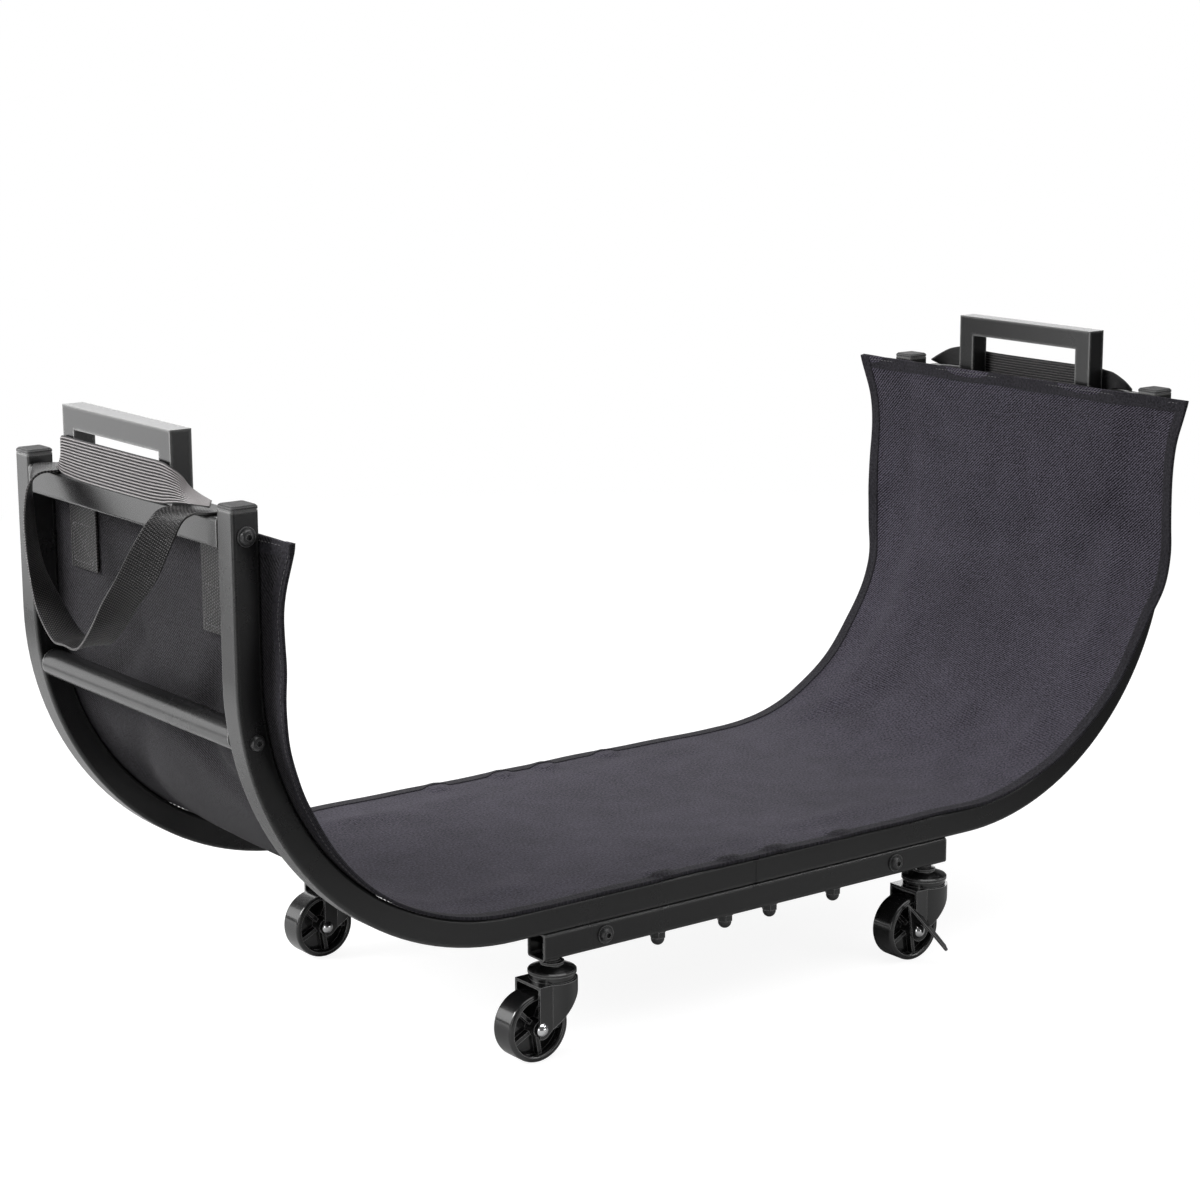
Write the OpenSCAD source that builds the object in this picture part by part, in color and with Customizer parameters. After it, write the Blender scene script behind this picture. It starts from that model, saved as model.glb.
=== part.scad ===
// Fireside log cart: two bent square-tube side frames joined by crossbars, a hanging
// canvas liner, two rails under the frames and four swivel casters.
// X runs along the cart, Y across it (front is -Y), Z up. The origin is on the floor
// under the middle of the cart.

/* [Side frames] */
// Overall length over the uprights
frame_l = 1085; // [900:5:1300]
// Overall width over the front and back frames
frame_w = 383; // [320:1:460]
// Height of a side frame, without its end caps
frame_h = 411; // [360:1:500]
// Outer radius of the bend between an upright and the flat bottom
bend_r = 270; // [200:1:320]
// Width of the square frame tube
tube = 25; // [22:0.5:30]
// Wall of the square frame tube
wall = 1.5; // [1.2:0.1:2]
// Corner radius of the square frame tube
tube_corner = 3; // [2.5:0.1:4]
// Length of the sleeve inside the joint of two frame halves
sleeve_l = 90; // [80:1:140]
// Height of an upright's end cap above its tube
cap_h = 4.5; // [3:0.5:8]
// Depth of an end cap's plug in its tube
cap_plug_h = 12; // [8:1:20]

/* [Crossbars and handles] */
// Drop from the top of an upright's tube to the top of the crossbar
crossbar_drop = 8; // [5:1:30]
// Diameter of the round lower bar
lower_bar_d = 25; // [20:0.5:28]
// Wall of the round lower bar
lower_bar_wall = 1.5; // [1.2:0.1:2]
// Angle of the lower bar down the bend
lower_bar_angle = 11; // [6:1:30]
// Overall width of a handle
handle_w = 190; // [160:1:200]
// Height of a handle above its crossbar
handle_h = 62; // [54:1:80]
// Width of the square handle tube
handle_tube = 20; // [16:0.5:24]
// Wall of the square handle tube
handle_wall = 1.5; // [1.2:0.1:2]

/* [Rails] */
// Length of a rail
rail_l = 485; // [440:1:520]
// Distance from a rail's end to the middle of its cross tube
cross_tube_inset = 67.5; // [60:0.5:80]
// Place of the inner clamp bolts, from the middle
clamp_inner_x = 27; // [20:1:36]
// Place of the outer clamp bolts, from the middle
clamp_outer_x = 106; // [80:1:130]

/* [Fasteners] */
// Diameter of the frame bolts
bolt_d = 8; // [6:1:8]
// Diameter of a button head
bolt_head_d = 13.5; // [12:0.5:14]
// Height of a button head
bolt_head_h = 4; // [3:0.5:5]
// Size of the hexagon socket across its flats
socket_af = 5; // [4:0.5:6]
// Depth of the hexagon socket
socket_h = 2.5; // [1.5:0.5:2.5]
// Diameter of a washer
washer_d = 16.5; // [15:0.5:20]
// Thickness of a washer
washer_t = 1.4; // [1:0.1:2]
// Length of the threaded insert in a bar's end
insert_l = 22; // [16:1:30]
// Height of the flat clamp bolt head
flat_head_h = 2.6; // [2:0.1:3]
// Height of a domed cap nut
cap_nut_h = 15; // [12:0.5:18]
// Width of a domed cap nut across its flats
cap_nut_af = 13; // [12:0.5:15]

/* [Casters] */
// Diameter of a wheel
wheel_d = 63; // [56:1:70]
// Width of a wheel's tread
wheel_w = 27; // [22:1:28]
// Height of the fork's top above the axle
fork_h = 39.5; // [38:0.5:46]
// Height of the raceway and neck between the fork and the rail
race_h = 20; // [18:0.5:24]
// Distance of the axle behind the swivel
trail = 24; // [22:1:27]
// Distance from a rail's end to the swivel
caster_inset = 17.5; // [16:0.5:24]
// Width of a fork over its arms
fork_w = 38; // [37:0.5:42]
// Thickness of the fork's sheet
fork_t = 2.5; // [2:0.1:3]
// Diameter of the raceway
race_d = 44; // [42:1:48]
// Diameter of a wheel's axle
axle_d = 6; // [5:0.5:7]
// Diameter of an axle's domed end
axle_head_d = 12; // [10:0.5:13]
// Diameter of the caster's threaded stem
stem_d = 10; // [8:1:10]
// Radius of the brake lever's eye
lever_r = 10.5; // [9.5:0.5:10.5]
// Reach of the brake lever's pedal
lever_reach = 30; // [22:1:34]

/* [Liner and straps] */
// Thickness of the canvas liner
canvas_t = 2; // [1.6:0.2:3]
// Gap between the frames and the liner, over the clamp bolts' heads
liner_gap = 3.5; // [3.2:0.1:5]
// How far the liner's sides stand past the frames at the bottom
liner_over = 16; // [10:1:24]
// How much more the liner's sides stand out at its top edges
liner_flare = 30; // [10:1:40]
// Sag of the liner between the frames
liner_sag = 10; // [4:1:16]
// Drop of the liner's left top edge below the end caps
liner_drop_left = 26; // [20:1:60]
// Drop of the liner's right top edge below the end caps
liner_drop_right = 7; // [4:1:60]
// Drop of a carrying loop below its crossbar's top
loop_drop = 126; // [110:1:126]
// How far a carrying loop stands out from its crossbar, before its width turns outwards
loop_reach = 30; // [26:1:40]
// Width of the strap webbing
webbing_w = 48; // [40:1:50]
// Thickness of the strap webbing
webbing_t = 2.2; // [1.8:0.1:2.4]
// Width of the ribbed grip band
grip_w = 36; // [30:1:38]
// Thickness of the ribbed grip band
grip_t = 2.6; // [2:0.1:3]

/* [Hidden] */
// Clearance of a bolt in its hole
bolt_gap = 0.25;
// Clearance of a plug or sleeve in its tube
plug_gap = 0.2;
// Running clearance of a pin in its bore
run_gap = 0.05;
// Clearance between faces that move past each other
slide_gap = 0.3;
// Clearance between a strap and what it lies on
lay_gap = 0.4;

half_l = frame_l / 2;
half_w = frame_w / 2;
half_tube = tube / 2;
bore_w = tube - 2 * wall;
caster_h = wheel_d / 2 + fork_h + race_h;
rail_z = caster_h;
frame_z = rail_z + tube;
tube_top = frame_z + frame_h;
cap_top = tube_top + cap_h;
upright_x = half_l - half_tube;
frame_y = half_w - half_tube;
bend_x = half_l - bend_r;
bend_z = frame_z + bend_r;
bend_mid_r = bend_r - half_tube;
crossbar_top = tube_top - crossbar_drop;
crossbar_z = crossbar_top - half_tube;
inner_w = frame_w - 2 * tube;
bar_l = inner_w - 2 * plug_gap;
lower_bar_x = bend_x + bend_mid_r * cos(lower_bar_angle);
lower_bar_z = bend_z - bend_mid_r * sin(lower_bar_angle);
clamp_xs = [-clamp_outer_x, -clamp_inner_x, clamp_inner_x, clamp_outer_x];
bolt_hole_d = bolt_d + 2 * bolt_gap;

caster_x = rail_l / 2 - caster_inset;
cross_tube_x = rail_l / 2 - cross_tube_inset;
axle_z = wheel_d / 2;
fork_top = axle_z + fork_h;
arm_y = fork_w / 2;
hub_w = fork_w - 2 * fork_t - 2 * slide_gap;

black_steel = [0.11, 0.11, 0.12];
black_plastic = [0.07, 0.07, 0.08];
gloss_black = [0.05, 0.05, 0.06];
zinc = [0.78, 0.78, 0.8];
canvas = [0.16, 0.15, 0.18];
webbing = [0.13, 0.13, 0.14];

CORNERS = ["fl", "fr", "bl", "br"];

seam_gap = 0.4;
cap_groove = 0.8;
cap_chamfer = 1.6;
cap_nut_flange = 1.5;
cap_nut_hex = 6;
cap_nut_roof = 4;
// How far the liner's edge passes the side frames, at distances along the cloth from each top edge
edge_run = 240;
liner_edge_left = [[0, liner_over + liner_flare], [20, liner_over + 0.63 * liner_flare],
    [40, liner_over + 0.32 * liner_flare], [60, liner_over + 0.2 * liner_flare],
    [82, liner_over + 0.3 * liner_flare], [105, liner_over + 0.46 * liner_flare],
    [150, liner_over + 0.5 * liner_flare], [190, liner_over + 0.3 * liner_flare],
    [220, liner_over + 0.06 * liner_flare], [300, 0.85 * liner_over], [420, 0.2 * liner_over]];
liner_edge_right = [[0, liner_over + 0.92 * liner_flare], [40, liner_over + 0.62 * liner_flare],
    [90, liner_over + 0.54 * liner_flare], [150, liner_over + 0.5 * liner_flare],
    [190, liner_over + 0.3 * liner_flare], [220, liner_over + 0.06 * liner_flare],
    [300, 0.85 * liner_over], [420, 0.2 * liner_over]];
fold_depth = 3;
fold_pitch = 150;
strap_clear = 22;
grip_hang = 13;
front_tab_h = 107;
back_tab_h = 90;
neck_h = 4.5;
neck_flange_h = 2.5;
race_dish_h = 6.5;
stem_nut_h = 8;
stem_nut_af = 16;
pin_head_h = 2.5;
ball_d = 3.8;
ball_count = 12;
ball_ring_r = 15;
fork_tail = 3;
fork_nose_h = 7;
fork_eye_r = 9;
axle_head_h = 3.5;
lever_t = 2;
lever_tilt = 34;
lever_tip = 52;
lever_room = lever_t + 2 * slide_gap;
wheel_edge_r = 3;
rim_t = 4.5;
web_t = 5;
wheel_hub_r = 8;
rib_count = 5;
rib_t = 4;
rib_w = 17;

// ---- shared shapes ----
module rounded_square(size, r) {
    half = size / 2 - r;
    square([size, size - 2 * r], center = true);
    square([size - 2 * r, size], center = true);
    for (x = [-half, half], y = [-half, half])
        translate([x, y]) circle(r, $fn = 32);
}

module tube_profile(size, thick, r) {
    difference() {
        rounded_square(size, r);
        rounded_square(size - 2 * thick, r - thick + 0.2);
    }
}

// A square tube along Y, centred
module tube_along_y(length) {
    rotate([90, 0, 0])
        linear_extrude(length, center = true) tube_profile(tube, wall, tube_corner);
}

// A round hole or pin along Y, centred
module round_along_y(d, length) {
    rotate([90, 0, 0]) cylinder(d = d, h = length, center = true, $fn = 48);
}

// Turns +Z to point outwards through the front (-1) or back (1) face
module facing_out(side) rotate([-side * 90, 0, 0]) children();

module dome(d, h) {
    r = (d * d / 4 + h * h) / (2 * h);
    rotate_extrude($fn = 48) intersection() {
        translate([0, h - r]) circle(r, $fn = 96);
        square([d / 2, h]);
    }
}

// A button-head bolt: its head stands on z = 0 and its shank goes down
module button_bolt(length) {
    translate([0, 0, -length]) cylinder(d = bolt_d, h = length + 0.5, $fn = 32);
    difference() {
        rotate_extrude($fn = 48) polygon([[0, 0], [bolt_head_d / 2, 0], [bolt_head_d / 2, 0.3 * bolt_head_h],
            [0.46 * bolt_head_d, 0.62 * bolt_head_h], [0.39 * bolt_head_d, 0.88 * bolt_head_h],
            [0.3 * bolt_head_d, bolt_head_h], [0, bolt_head_h]]);
        translate([0, 0, bolt_head_h - socket_h])
            cylinder(d = socket_af / cos(30), h = socket_h + 1, $fn = 6);
    }
}

// The four bolt places at the two ends of a pair of bars
module at_bar_ends(x, z) {
    for (end = [-1, 1], side = [-1, 1])
        translate([end * x, side * half_w, z]) facing_out(side) children();
}

// ---- side frames ----
module frame_half_right() {
    color(black_steel) difference() {
        union() {
            translate([upright_x, 0, bend_z])
                linear_extrude(tube_top - bend_z) tube_profile(tube, wall, tube_corner);
            translate([bend_x, 0, bend_z]) rotate([90, 0, 0]) rotate([0, 0, -90])
                rotate_extrude(angle = 90, $fn = 180)
                    translate([bend_mid_r, 0]) tube_profile(tube, wall, tube_corner);
            translate([seam_gap / 2, 0, frame_z + half_tube]) rotate([90, 0, 90])
                linear_extrude(bend_x - seam_gap / 2) tube_profile(tube, wall, tube_corner);
        }
        translate([upright_x, 0, crossbar_z]) round_along_y(bolt_hole_d, tube + 2);
        translate([lower_bar_x, 0, lower_bar_z]) round_along_y(bolt_hole_d, tube + 2);
        for (x = [clamp_inner_x, clamp_outer_x])
            translate([x, 0, frame_z - 1]) cylinder(d = bolt_hole_d, h = tube + 2, $fn = 48);
    }
}

module frame_half(end, side) {
    translate([0, side * frame_y, 0])
        if (end > 0) frame_half_right(); else mirror([1, 0, 0]) frame_half_right();
}

// Square sleeves that join the frame halves from inside
module frame_splices() {
    sleeve = bore_w - 2 * plug_gap;
    color(black_steel) for (side = [-1, 1])
        translate([0, side * frame_y, frame_z + half_tube]) difference() {
            rotate([90, 0, 90]) linear_extrude(sleeve_l, center = true)
                tube_profile(sleeve, wall, tube_corner - wall + 0.2);
            for (x = [-clamp_inner_x, clamp_inner_x])
                translate([x, 0, 0]) cylinder(d = bolt_hole_d, h = tube, center = true, $fn = 48);
        }
}

module end_cap() {
    linear_extrude(cap_groove) rounded_square(tube - 2 * cap_groove, tube_corner - cap_groove);
    translate([0, 0, cap_groove])
        linear_extrude(cap_h - cap_groove - cap_chamfer) rounded_square(tube, tube_corner);
    translate([0, 0, cap_h - cap_chamfer]) hull() {
        linear_extrude(0.01) rounded_square(tube, tube_corner);
        translate([0, 0, cap_chamfer - 0.01])
            linear_extrude(0.01) rounded_square(tube - 2 * cap_chamfer, tube_corner - 1);
    }
    translate([0, 0, -cap_plug_h])
        linear_extrude(cap_plug_h + 0.1) rounded_square(bore_w - 2 * plug_gap, tube_corner - wall);
}

module end_caps() {
    color(black_plastic) for (x = [-upright_x, upright_x], y = [-frame_y, frame_y])
        translate([x, y, tube_top]) end_cap();
}

// ---- crossbars, handles and lower bars ----
module crossbar(end) {
    color(black_steel) translate([end * upright_x, 0, crossbar_z]) tube_along_y(bar_l);
}

// A mitred inverted U, seen along X
module handle_outline(inset) {
    leg = handle_tube - 2 * inset;
    difference() {
        translate([-handle_w / 2 + inset, inset > 0 ? -1 : 0])
            square([handle_w - 2 * inset, handle_h - inset + (inset > 0 ? 1 : 0)]);
        translate([-handle_w / 2 + inset + leg, -2])
            square([handle_w - 2 * inset - 2 * leg, handle_h - handle_tube + inset + 2]);
    }
}

module handle(end) {
    color(black_steel)
        translate([end * (half_l - handle_tube / 2), 0, crossbar_top])
            rotate([90, 0, 90]) difference() {
                linear_extrude(handle_tube, center = true) handle_outline(0);
                linear_extrude(handle_tube - 2 * handle_wall, center = true)
                    handle_outline(handle_wall);
            }
}

module lower_bar(end) {
    color(black_steel) translate([end * lower_bar_x, 0, lower_bar_z]) difference() {
        round_along_y(lower_bar_d, bar_l);
        round_along_y(lower_bar_d - 2 * lower_bar_wall, bar_l + 2);
    }
}

// Threaded plugs in the ends of the crossbars, lower bars and cross tubes
module square_insert() {
    linear_extrude(insert_l) difference() {
        rounded_square(bore_w - 2 * plug_gap, tube_corner - wall);
        circle(d = bolt_d + 2 * run_gap, $fn = 48);
    }
}

module round_insert() {
    linear_extrude(insert_l) difference() {
        circle(d = lower_bar_d - 2 * lower_bar_wall - 2 * plug_gap, $fn = 48);
        circle(d = bolt_d + 2 * run_gap, $fn = 48);
    }
}

module bar_inserts() {
    depth = tube + plug_gap + insert_l;
    color(zinc) {
        at_bar_ends(upright_x, crossbar_z) translate([0, 0, -depth]) square_insert();
        at_bar_ends(lower_bar_x, lower_bar_z) translate([0, 0, -depth]) round_insert();
        at_bar_ends(cross_tube_x, rail_z + half_tube) translate([0, 0, -depth]) square_insert();
    }
}

// ---- rails ----
module rail(side) {
    color(black_steel) translate([0, side * frame_y, rail_z + half_tube]) difference() {
        rotate([90, 0, 90])
            linear_extrude(rail_l, center = true) tube_profile(tube, wall, tube_corner);
        for (x = clamp_xs)
            translate([x, 0, 0]) cylinder(d = bolt_hole_d, h = tube + 2, center = true, $fn = 48);
        for (x = [-cross_tube_x, cross_tube_x])
            translate([x, 0, 0]) round_along_y(bolt_hole_d, tube + 2);
        for (x = [-caster_x, caster_x])
            translate([x, 0, -tube]) cylinder(d = stem_d + 2 * bolt_gap, h = tube, $fn = 48);
    }
}

module cross_tube(end) {
    color(black_steel) translate([end * cross_tube_x, 0, rail_z + half_tube]) tube_along_y(bar_l);
}

// ---- fasteners ----
module crossbar_bolts() {
    color(black_steel) at_bar_ends(upright_x, crossbar_z)
        translate([0, 0, washer_t]) button_bolt(washer_t + tube + insert_l);
}

module lower_bar_bolts() {
    color(black_steel) at_bar_ends(lower_bar_x, lower_bar_z) button_bolt(tube + insert_l);
}

module rail_bolts() {
    color(black_steel) at_bar_ends(cross_tube_x, rail_z + half_tube)
        translate([0, 0, washer_t]) button_bolt(washer_t + tube + insert_l);
}

module washer() {
    difference() {
        cylinder(d = washer_d, h = washer_t, $fn = 48);
        translate([0, 0, -1]) cylinder(d = bolt_hole_d, h = washer_t + 2, $fn = 48);
    }
}

module washers() {
    color(black_steel) {
        at_bar_ends(upright_x, crossbar_z) washer();
        at_bar_ends(cross_tube_x, rail_z + half_tube) washer();
    }
}

// Low-head bolts that clamp the frames and their splices to the rails
module clamp_bolts() {
    reach = 2 * tube + cap_nut_h - cap_nut_roof;
    color(black_steel) for (x = clamp_xs, y = [-frame_y, frame_y])
        translate([x, y, frame_z + tube]) {
            difference() {
                cylinder(d = washer_d - 2, h = flat_head_h, $fn = 48);
                translate([0, 0, flat_head_h / 2])
                    cylinder(d = socket_af / cos(30), h = flat_head_h, $fn = 6);
            }
            translate([0, 0, -reach]) cylinder(d = bolt_d, h = reach + 0.5, $fn = 48);
        }
}

// A domed nut that hangs under z = 0
module cap_nut() {
    hex_d = cap_nut_af / cos(30);
    dome_h = cap_nut_h - cap_nut_flange - cap_nut_hex;
    difference() {
        union() {
            translate([0, 0, -cap_nut_flange]) cylinder(d = hex_d + 1.5, h = cap_nut_flange, $fn = 48);
            translate([0, 0, -cap_nut_flange - cap_nut_hex])
                cylinder(d = hex_d, h = cap_nut_hex + 0.5, $fn = 6);
            translate([0, 0, -cap_nut_flange - cap_nut_hex]) mirror([0, 0, 1])
                dome(cap_nut_af - 0.5, dome_h);
        }
        translate([0, 0, -cap_nut_h + cap_nut_roof])
            cylinder(d = bolt_d + 2 * run_gap, h = cap_nut_h, $fn = 48);
    }
}

module cap_nuts() {
    color(black_steel) for (x = clamp_xs, y = [-frame_y, frame_y])
        translate([x, y, rail_z]) cap_nut();
}

// ---- liner ----
function ease(t) = let (c = min(1, max(0, t))) c * c * (3 - 2 * c);

// Stations along the liner's outer face: x, z, outward normal x and z, and how flat it lies
liner_r = bend_r - tube - liner_gap;
liner_top_left = cap_top - liner_drop_left;
liner_top_right = cap_top - liner_drop_right;
liner_path = concat(
    [for (i = [0 : 3]) [-bend_x - liner_r, liner_top_left + (bend_z - liner_top_left) * i / 4, -1, 0]],
    [for (i = [0 : 12]) let (a = 180 + 90 * i / 12)
        [-bend_x + liner_r * cos(a), bend_z + liner_r * sin(a), cos(a), sin(a)]],
    [for (i = [1 : 7]) [-bend_x + 2 * bend_x * i / 8, bend_z - liner_r, 0, -1]],
    [for (i = [0 : 12]) let (a = 270 + 90 * i / 12)
        [bend_x + liner_r * cos(a), bend_z + liner_r * sin(a), cos(a), sin(a)]],
    [for (i = [1 : 4]) [bend_x + liner_r, bend_z + (liner_top_right - bend_z) * i / 4, 1, 0]]);
liner_columns = [-1, -0.9, -0.8, -0.66, -0.45, -0.2, 0, 0.2, 0.45, 0.66, 0.8, 0.9, 1];

// The way along the cloth from the nearer top edge to a point of its path
function liner_way(p) =
    let (top = p[0] < 0 ? liner_top_left : liner_top_right, past = abs(p[0]) - bend_x)
    p[1] >= bend_z ? top - p[1]
        : top - bend_z + liner_r * PI / 180 * (past > 0 ? atan2(bend_z - p[1], past) : 90);
// The sides flare out towards the top edges and close in to the frames along the floor
function liner_half_w(p) =
    half_w + lookup(liner_way(p) * edge_run / liner_r, p[0] < 0 ? liner_edge_left : liner_edge_right);
function flatness(p) = p[3] * p[3];
// Sag between the frames, droop past their outer faces and shallow folds in the end walls
function liner_out(p, y) =
    let (inner_y = half_w - tube - 2, past = max(0, abs(y) - half_w) / liner_over)
    liner_sag * flatness(p) * max(0, 1 - y * y / (inner_y * inner_y))
        + (liner_gap + 1) * flatness(p) * min(1, past * past)
        - fold_depth * (1 - flatness(p)) * ease((crossbar_top - p[1]) / 200)
            * (0.5 - 0.5 * cos(y * 360 / fold_pitch + p[1]));
function liner_point(p, y, lift) =
    let (out = liner_out(p, y) - lift) [p[0] + p[2] * out, y, p[1] + p[3] * out];

module liner() {
    rows = len(liner_path);
    cols = len(liner_columns);
    points = [for (lift = [0, canvas_t], p = liner_path, c = liner_columns)
        liner_point(p, c * liner_half_w(p), lift)];
    function id(layer, i, j) = layer * rows * cols + i * cols + j;
    function quad(a, b, c, d) = [[a, b, c], [a, c, d]];
    faces = concat(
        [for (i = [0 : rows - 2], j = [0 : cols - 2])
            each quad(id(0, i, j), id(0, i + 1, j), id(0, i + 1, j + 1), id(0, i, j + 1))],
        [for (i = [0 : rows - 2], j = [0 : cols - 2])
            each quad(id(1, i, j), id(1, i, j + 1), id(1, i + 1, j + 1), id(1, i + 1, j))],
        [for (i = [0 : rows - 2]) each concat(
            quad(id(0, i, 0), id(1, i, 0), id(1, i + 1, 0), id(0, i + 1, 0)),
            quad(id(0, i, cols - 1), id(0, i + 1, cols - 1), id(1, i + 1, cols - 1), id(1, i, cols - 1)))],
        [for (j = [0 : cols - 2]) each concat(
            quad(id(0, 0, j), id(0, 0, j + 1), id(1, 0, j + 1), id(1, 0, j)),
            quad(id(0, rows - 1, j), id(1, rows - 1, j), id(1, rows - 1, j + 1), id(0, rows - 1, j + 1)))]);
    color(canvas) polyhedron(points, faces);
}

// ---- straps ----
// A station of a strap is the pair of points [u, y, w] where its two edges pass.
// u is measured outwards from the crossbar's outer face and w upwards from its top.
function bend_between(a, b, c, d, t) =
    0.5 * ((2 * b) + (c - a) * t + (2 * a - 5 * b + 4 * c - d) * t * t
        + (3 * b - a - 3 * c + d) * t * t * t);
function smooth_run(s, steps) =
    let (n = len(s)) concat(
        [for (i = [0 : n - 2], k = [0 : steps - 1])
            bend_between(s[max(0, i - 1)], s[i], s[i + 1], s[min(n - 1, i + 2)], k / steps)],
        [s[n - 1]]);
function unit(v) = v / norm(v);
function far_side(s) = [[s[0][0], -s[0][1], s[0][2]], [s[1][0], -s[1][1], s[1][2]]];
function with_far_side(half) =
    concat([for (i = [len(half) - 1 : -1 : 0]) far_side(half[i])], half);

module ribbon(stations, thick, steps) {
    run = smooth_run(stations, steps);
    n = len(run);
    rings = [for (i = [0 : n - 1])
        let (
            ahead = run[min(n - 1, i + 1)],
            behind = run[max(0, i - 1)],
            along = ahead[0] + ahead[1] - behind[0] - behind[1],
            up = unit(cross(along, run[i][0] - run[i][1])) * thick / 2)
        each [run[i][1] - up, run[i][0] - up, run[i][0] + up, run[i][1] + up]];
    faces = concat(
        [for (i = [0 : n - 2], k = [0 : 3]) let (a = 4 * i + k, b = 4 * i + (k + 1) % 4)
            each [[a, b + 4, b], [a, a + 4, b + 4]]],
        [[0, 2, 3], [0, 1, 2], [4 * n - 4, 4 * n - 2, 4 * n - 3], [4 * n - 4, 4 * n - 1, 4 * n - 2]]);
    polyhedron(rings, faces);
}

module at_end(end) {
    if (end > 0) translate([half_l, 0, crossbar_top]) children();
    else mirror([1, 0, 0]) translate([half_l, 0, crossbar_top]) children();
}

// The carrying strap rises inside the crossbar, goes over it and hangs in a loop outside
strap_in = -tube - lay_gap - webbing_t / 2;
strap_sewn = -tube - liner_gap + lay_gap + webbing_t / 2;
strap_up = lay_gap + webbing_t / 2;
strap_y = handle_w / 2 + strap_clear;
strap_near = strap_y - webbing_w / 2;
strap_far = strap_y + webbing_w / 2;
strap_half = [
    [[loop_reach + 25, 0.2 * strap_y, 1 - loop_drop], [loop_reach - 5, 0.22 * strap_y, 2 - loop_drop]],
    [[loop_reach + 25, 0.41 * strap_y, -0.83 * loop_drop],
        [loop_reach - 4, 0.5 * strap_y, -0.81 * loop_drop]],
    [[loop_reach + 22, 0.56 * strap_y, -0.63 * loop_drop],
        [loop_reach - 3, 0.73 * strap_y, -0.63 * loop_drop]],
    [[loop_reach + 17, 0.69 * strap_y, -0.46 * loop_drop],
        [loop_reach - 7, 0.92 * strap_y, -0.45 * loop_drop]],
    [[loop_reach + 10, 0.82 * strap_y, -0.25 * loop_drop],
        [loop_reach - 12, 1.06 * strap_y, -0.22 * loop_drop]],
    [[loop_reach, 0.91 * strap_y, -0.07 * loop_drop],
        [loop_reach - 17, 1.15 * strap_y, -0.055 * loop_drop]],
    [[0.6 * loop_reach, strap_near + 15, 1.2], [0.23 * loop_reach, strap_far + 2, 0.6]],
    [[2, strap_near + 16, strap_up + 0.2], [0, strap_far + 12, strap_up + 0.2]],
    [[-half_tube, strap_near + 11, strap_up], [-half_tube, strap_far + 11, strap_up]],
    [[strap_in + 5, strap_near + 3, strap_up + 0.3], [strap_in + 5, strap_far + 3, strap_up + 0.3]],
    [[strap_in + 1.2, strap_near + 1, 0.4], [strap_in + 1.2, strap_far + 1, 0.4]],
    [[strap_in, strap_near, -8], [strap_in, strap_far, -8]],
    [[strap_in, strap_near, -tube], [strap_in, strap_far, -tube]],
    [[strap_sewn, strap_near, -2 * tube], [strap_sewn, strap_far, -2 * tube]]];

module carry_strap(end) {
    middle = [[[loop_reach + 25.5, 0, -loop_drop], [loop_reach - 5, 0, -loop_drop]]];
    front_end = [[[strap_sewn, -strap_near, -front_tab_h], [strap_sewn, -strap_far, -front_tab_h]]];
    back_end = [[[strap_sewn, strap_near, -back_tab_h], [strap_sewn, strap_far, -back_tab_h]]];
    stations = concat(front_end, [for (i = [len(strap_half) - 1 : -1 : 0]) far_side(strap_half[i])],
        middle, strap_half, back_end);
    color(webbing) at_end(end) ribbon(stations, webbing_t, 4);
}

// The grip band stands on edge outside the handle's legs and folds down over the crossbar
grip_out = lay_gap + grip_t / 2;
grip_lie = strap_up + webbing_t / 2 + lay_gap + grip_t / 2;
grip_turn = handle_w / 2;
grip_half_left = [
    [[grip_out, 0.5 * grip_turn, -1], [grip_out, 0.5 * grip_turn, grip_w - 1]],
    [[grip_out, 0.9 * grip_turn, 0.5], [grip_out, 0.9 * grip_turn, grip_w - 1]],
    [[grip_out, grip_turn + 3, grip_lie - 1.5], [grip_out - 1, grip_turn + 3.5, grip_w - 2]],
    [[1, grip_turn + 13, grip_lie], [-9, grip_turn + 4, grip_w - 7]],
    [[-1, grip_turn + 23, grip_lie + 0.4], [-17, grip_turn + 6, 0.61 * grip_w]],
    [[-4, grip_turn + 31, grip_lie + 0.4], [-20, grip_turn + 12, 0.39 * grip_w]],
    [[-11, grip_turn + 33, grip_lie + 0.4], [-21, grip_turn + 16, 0.22 * grip_w]]];
grip_half_right = [
    [[grip_out, 0.5 * grip_turn, -grip_hang], [grip_out, 0.5 * grip_turn, grip_w - 1 - grip_hang]],
    [[grip_out, 0.9 * grip_turn, 1 - grip_hang], [grip_out, 0.9 * grip_turn, grip_w - grip_hang]],
    [[grip_out, grip_turn + 2, 9 - grip_hang], [grip_out, grip_turn + 5, grip_w + 0.5 - grip_hang]],
    [[grip_out, grip_turn + 12, grip_lie + 0.4], [-1, grip_turn + 17, 0.61 * grip_w]],
    [[0, grip_turn + 25, grip_lie + 0.4], [-6, grip_turn + 30, 0.56 * grip_w]],
    [[-2, grip_turn + 36, grip_lie + 0.4], [-11, grip_turn + 42, 0.39 * grip_w]],
    [[-6, grip_turn + 44, grip_lie + 0.4], [-16, grip_turn + 49, 0.22 * grip_w]]];

module grip_band(end) {
    half = end > 0 ? grip_half_right : grip_half_left;
    color(webbing) at_end(end) ribbon(with_far_side(half), grip_t, 4);
}

// ---- casters ----
// Builds a caster's piece at its own place; the fork trails towards -X
module at_caster(corner) {
    x = corner[1] == "l" ? -caster_x : caster_x;
    y = corner[0] == "f" ? -frame_y : frame_y;
    translate([x, y, 0]) children();
}

neck_z = rail_z - neck_h;
race_top = neck_z - neck_flange_h;
race_seat = race_top - race_dish_h - 1.3;
plate_z = fork_top - fork_t;

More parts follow.
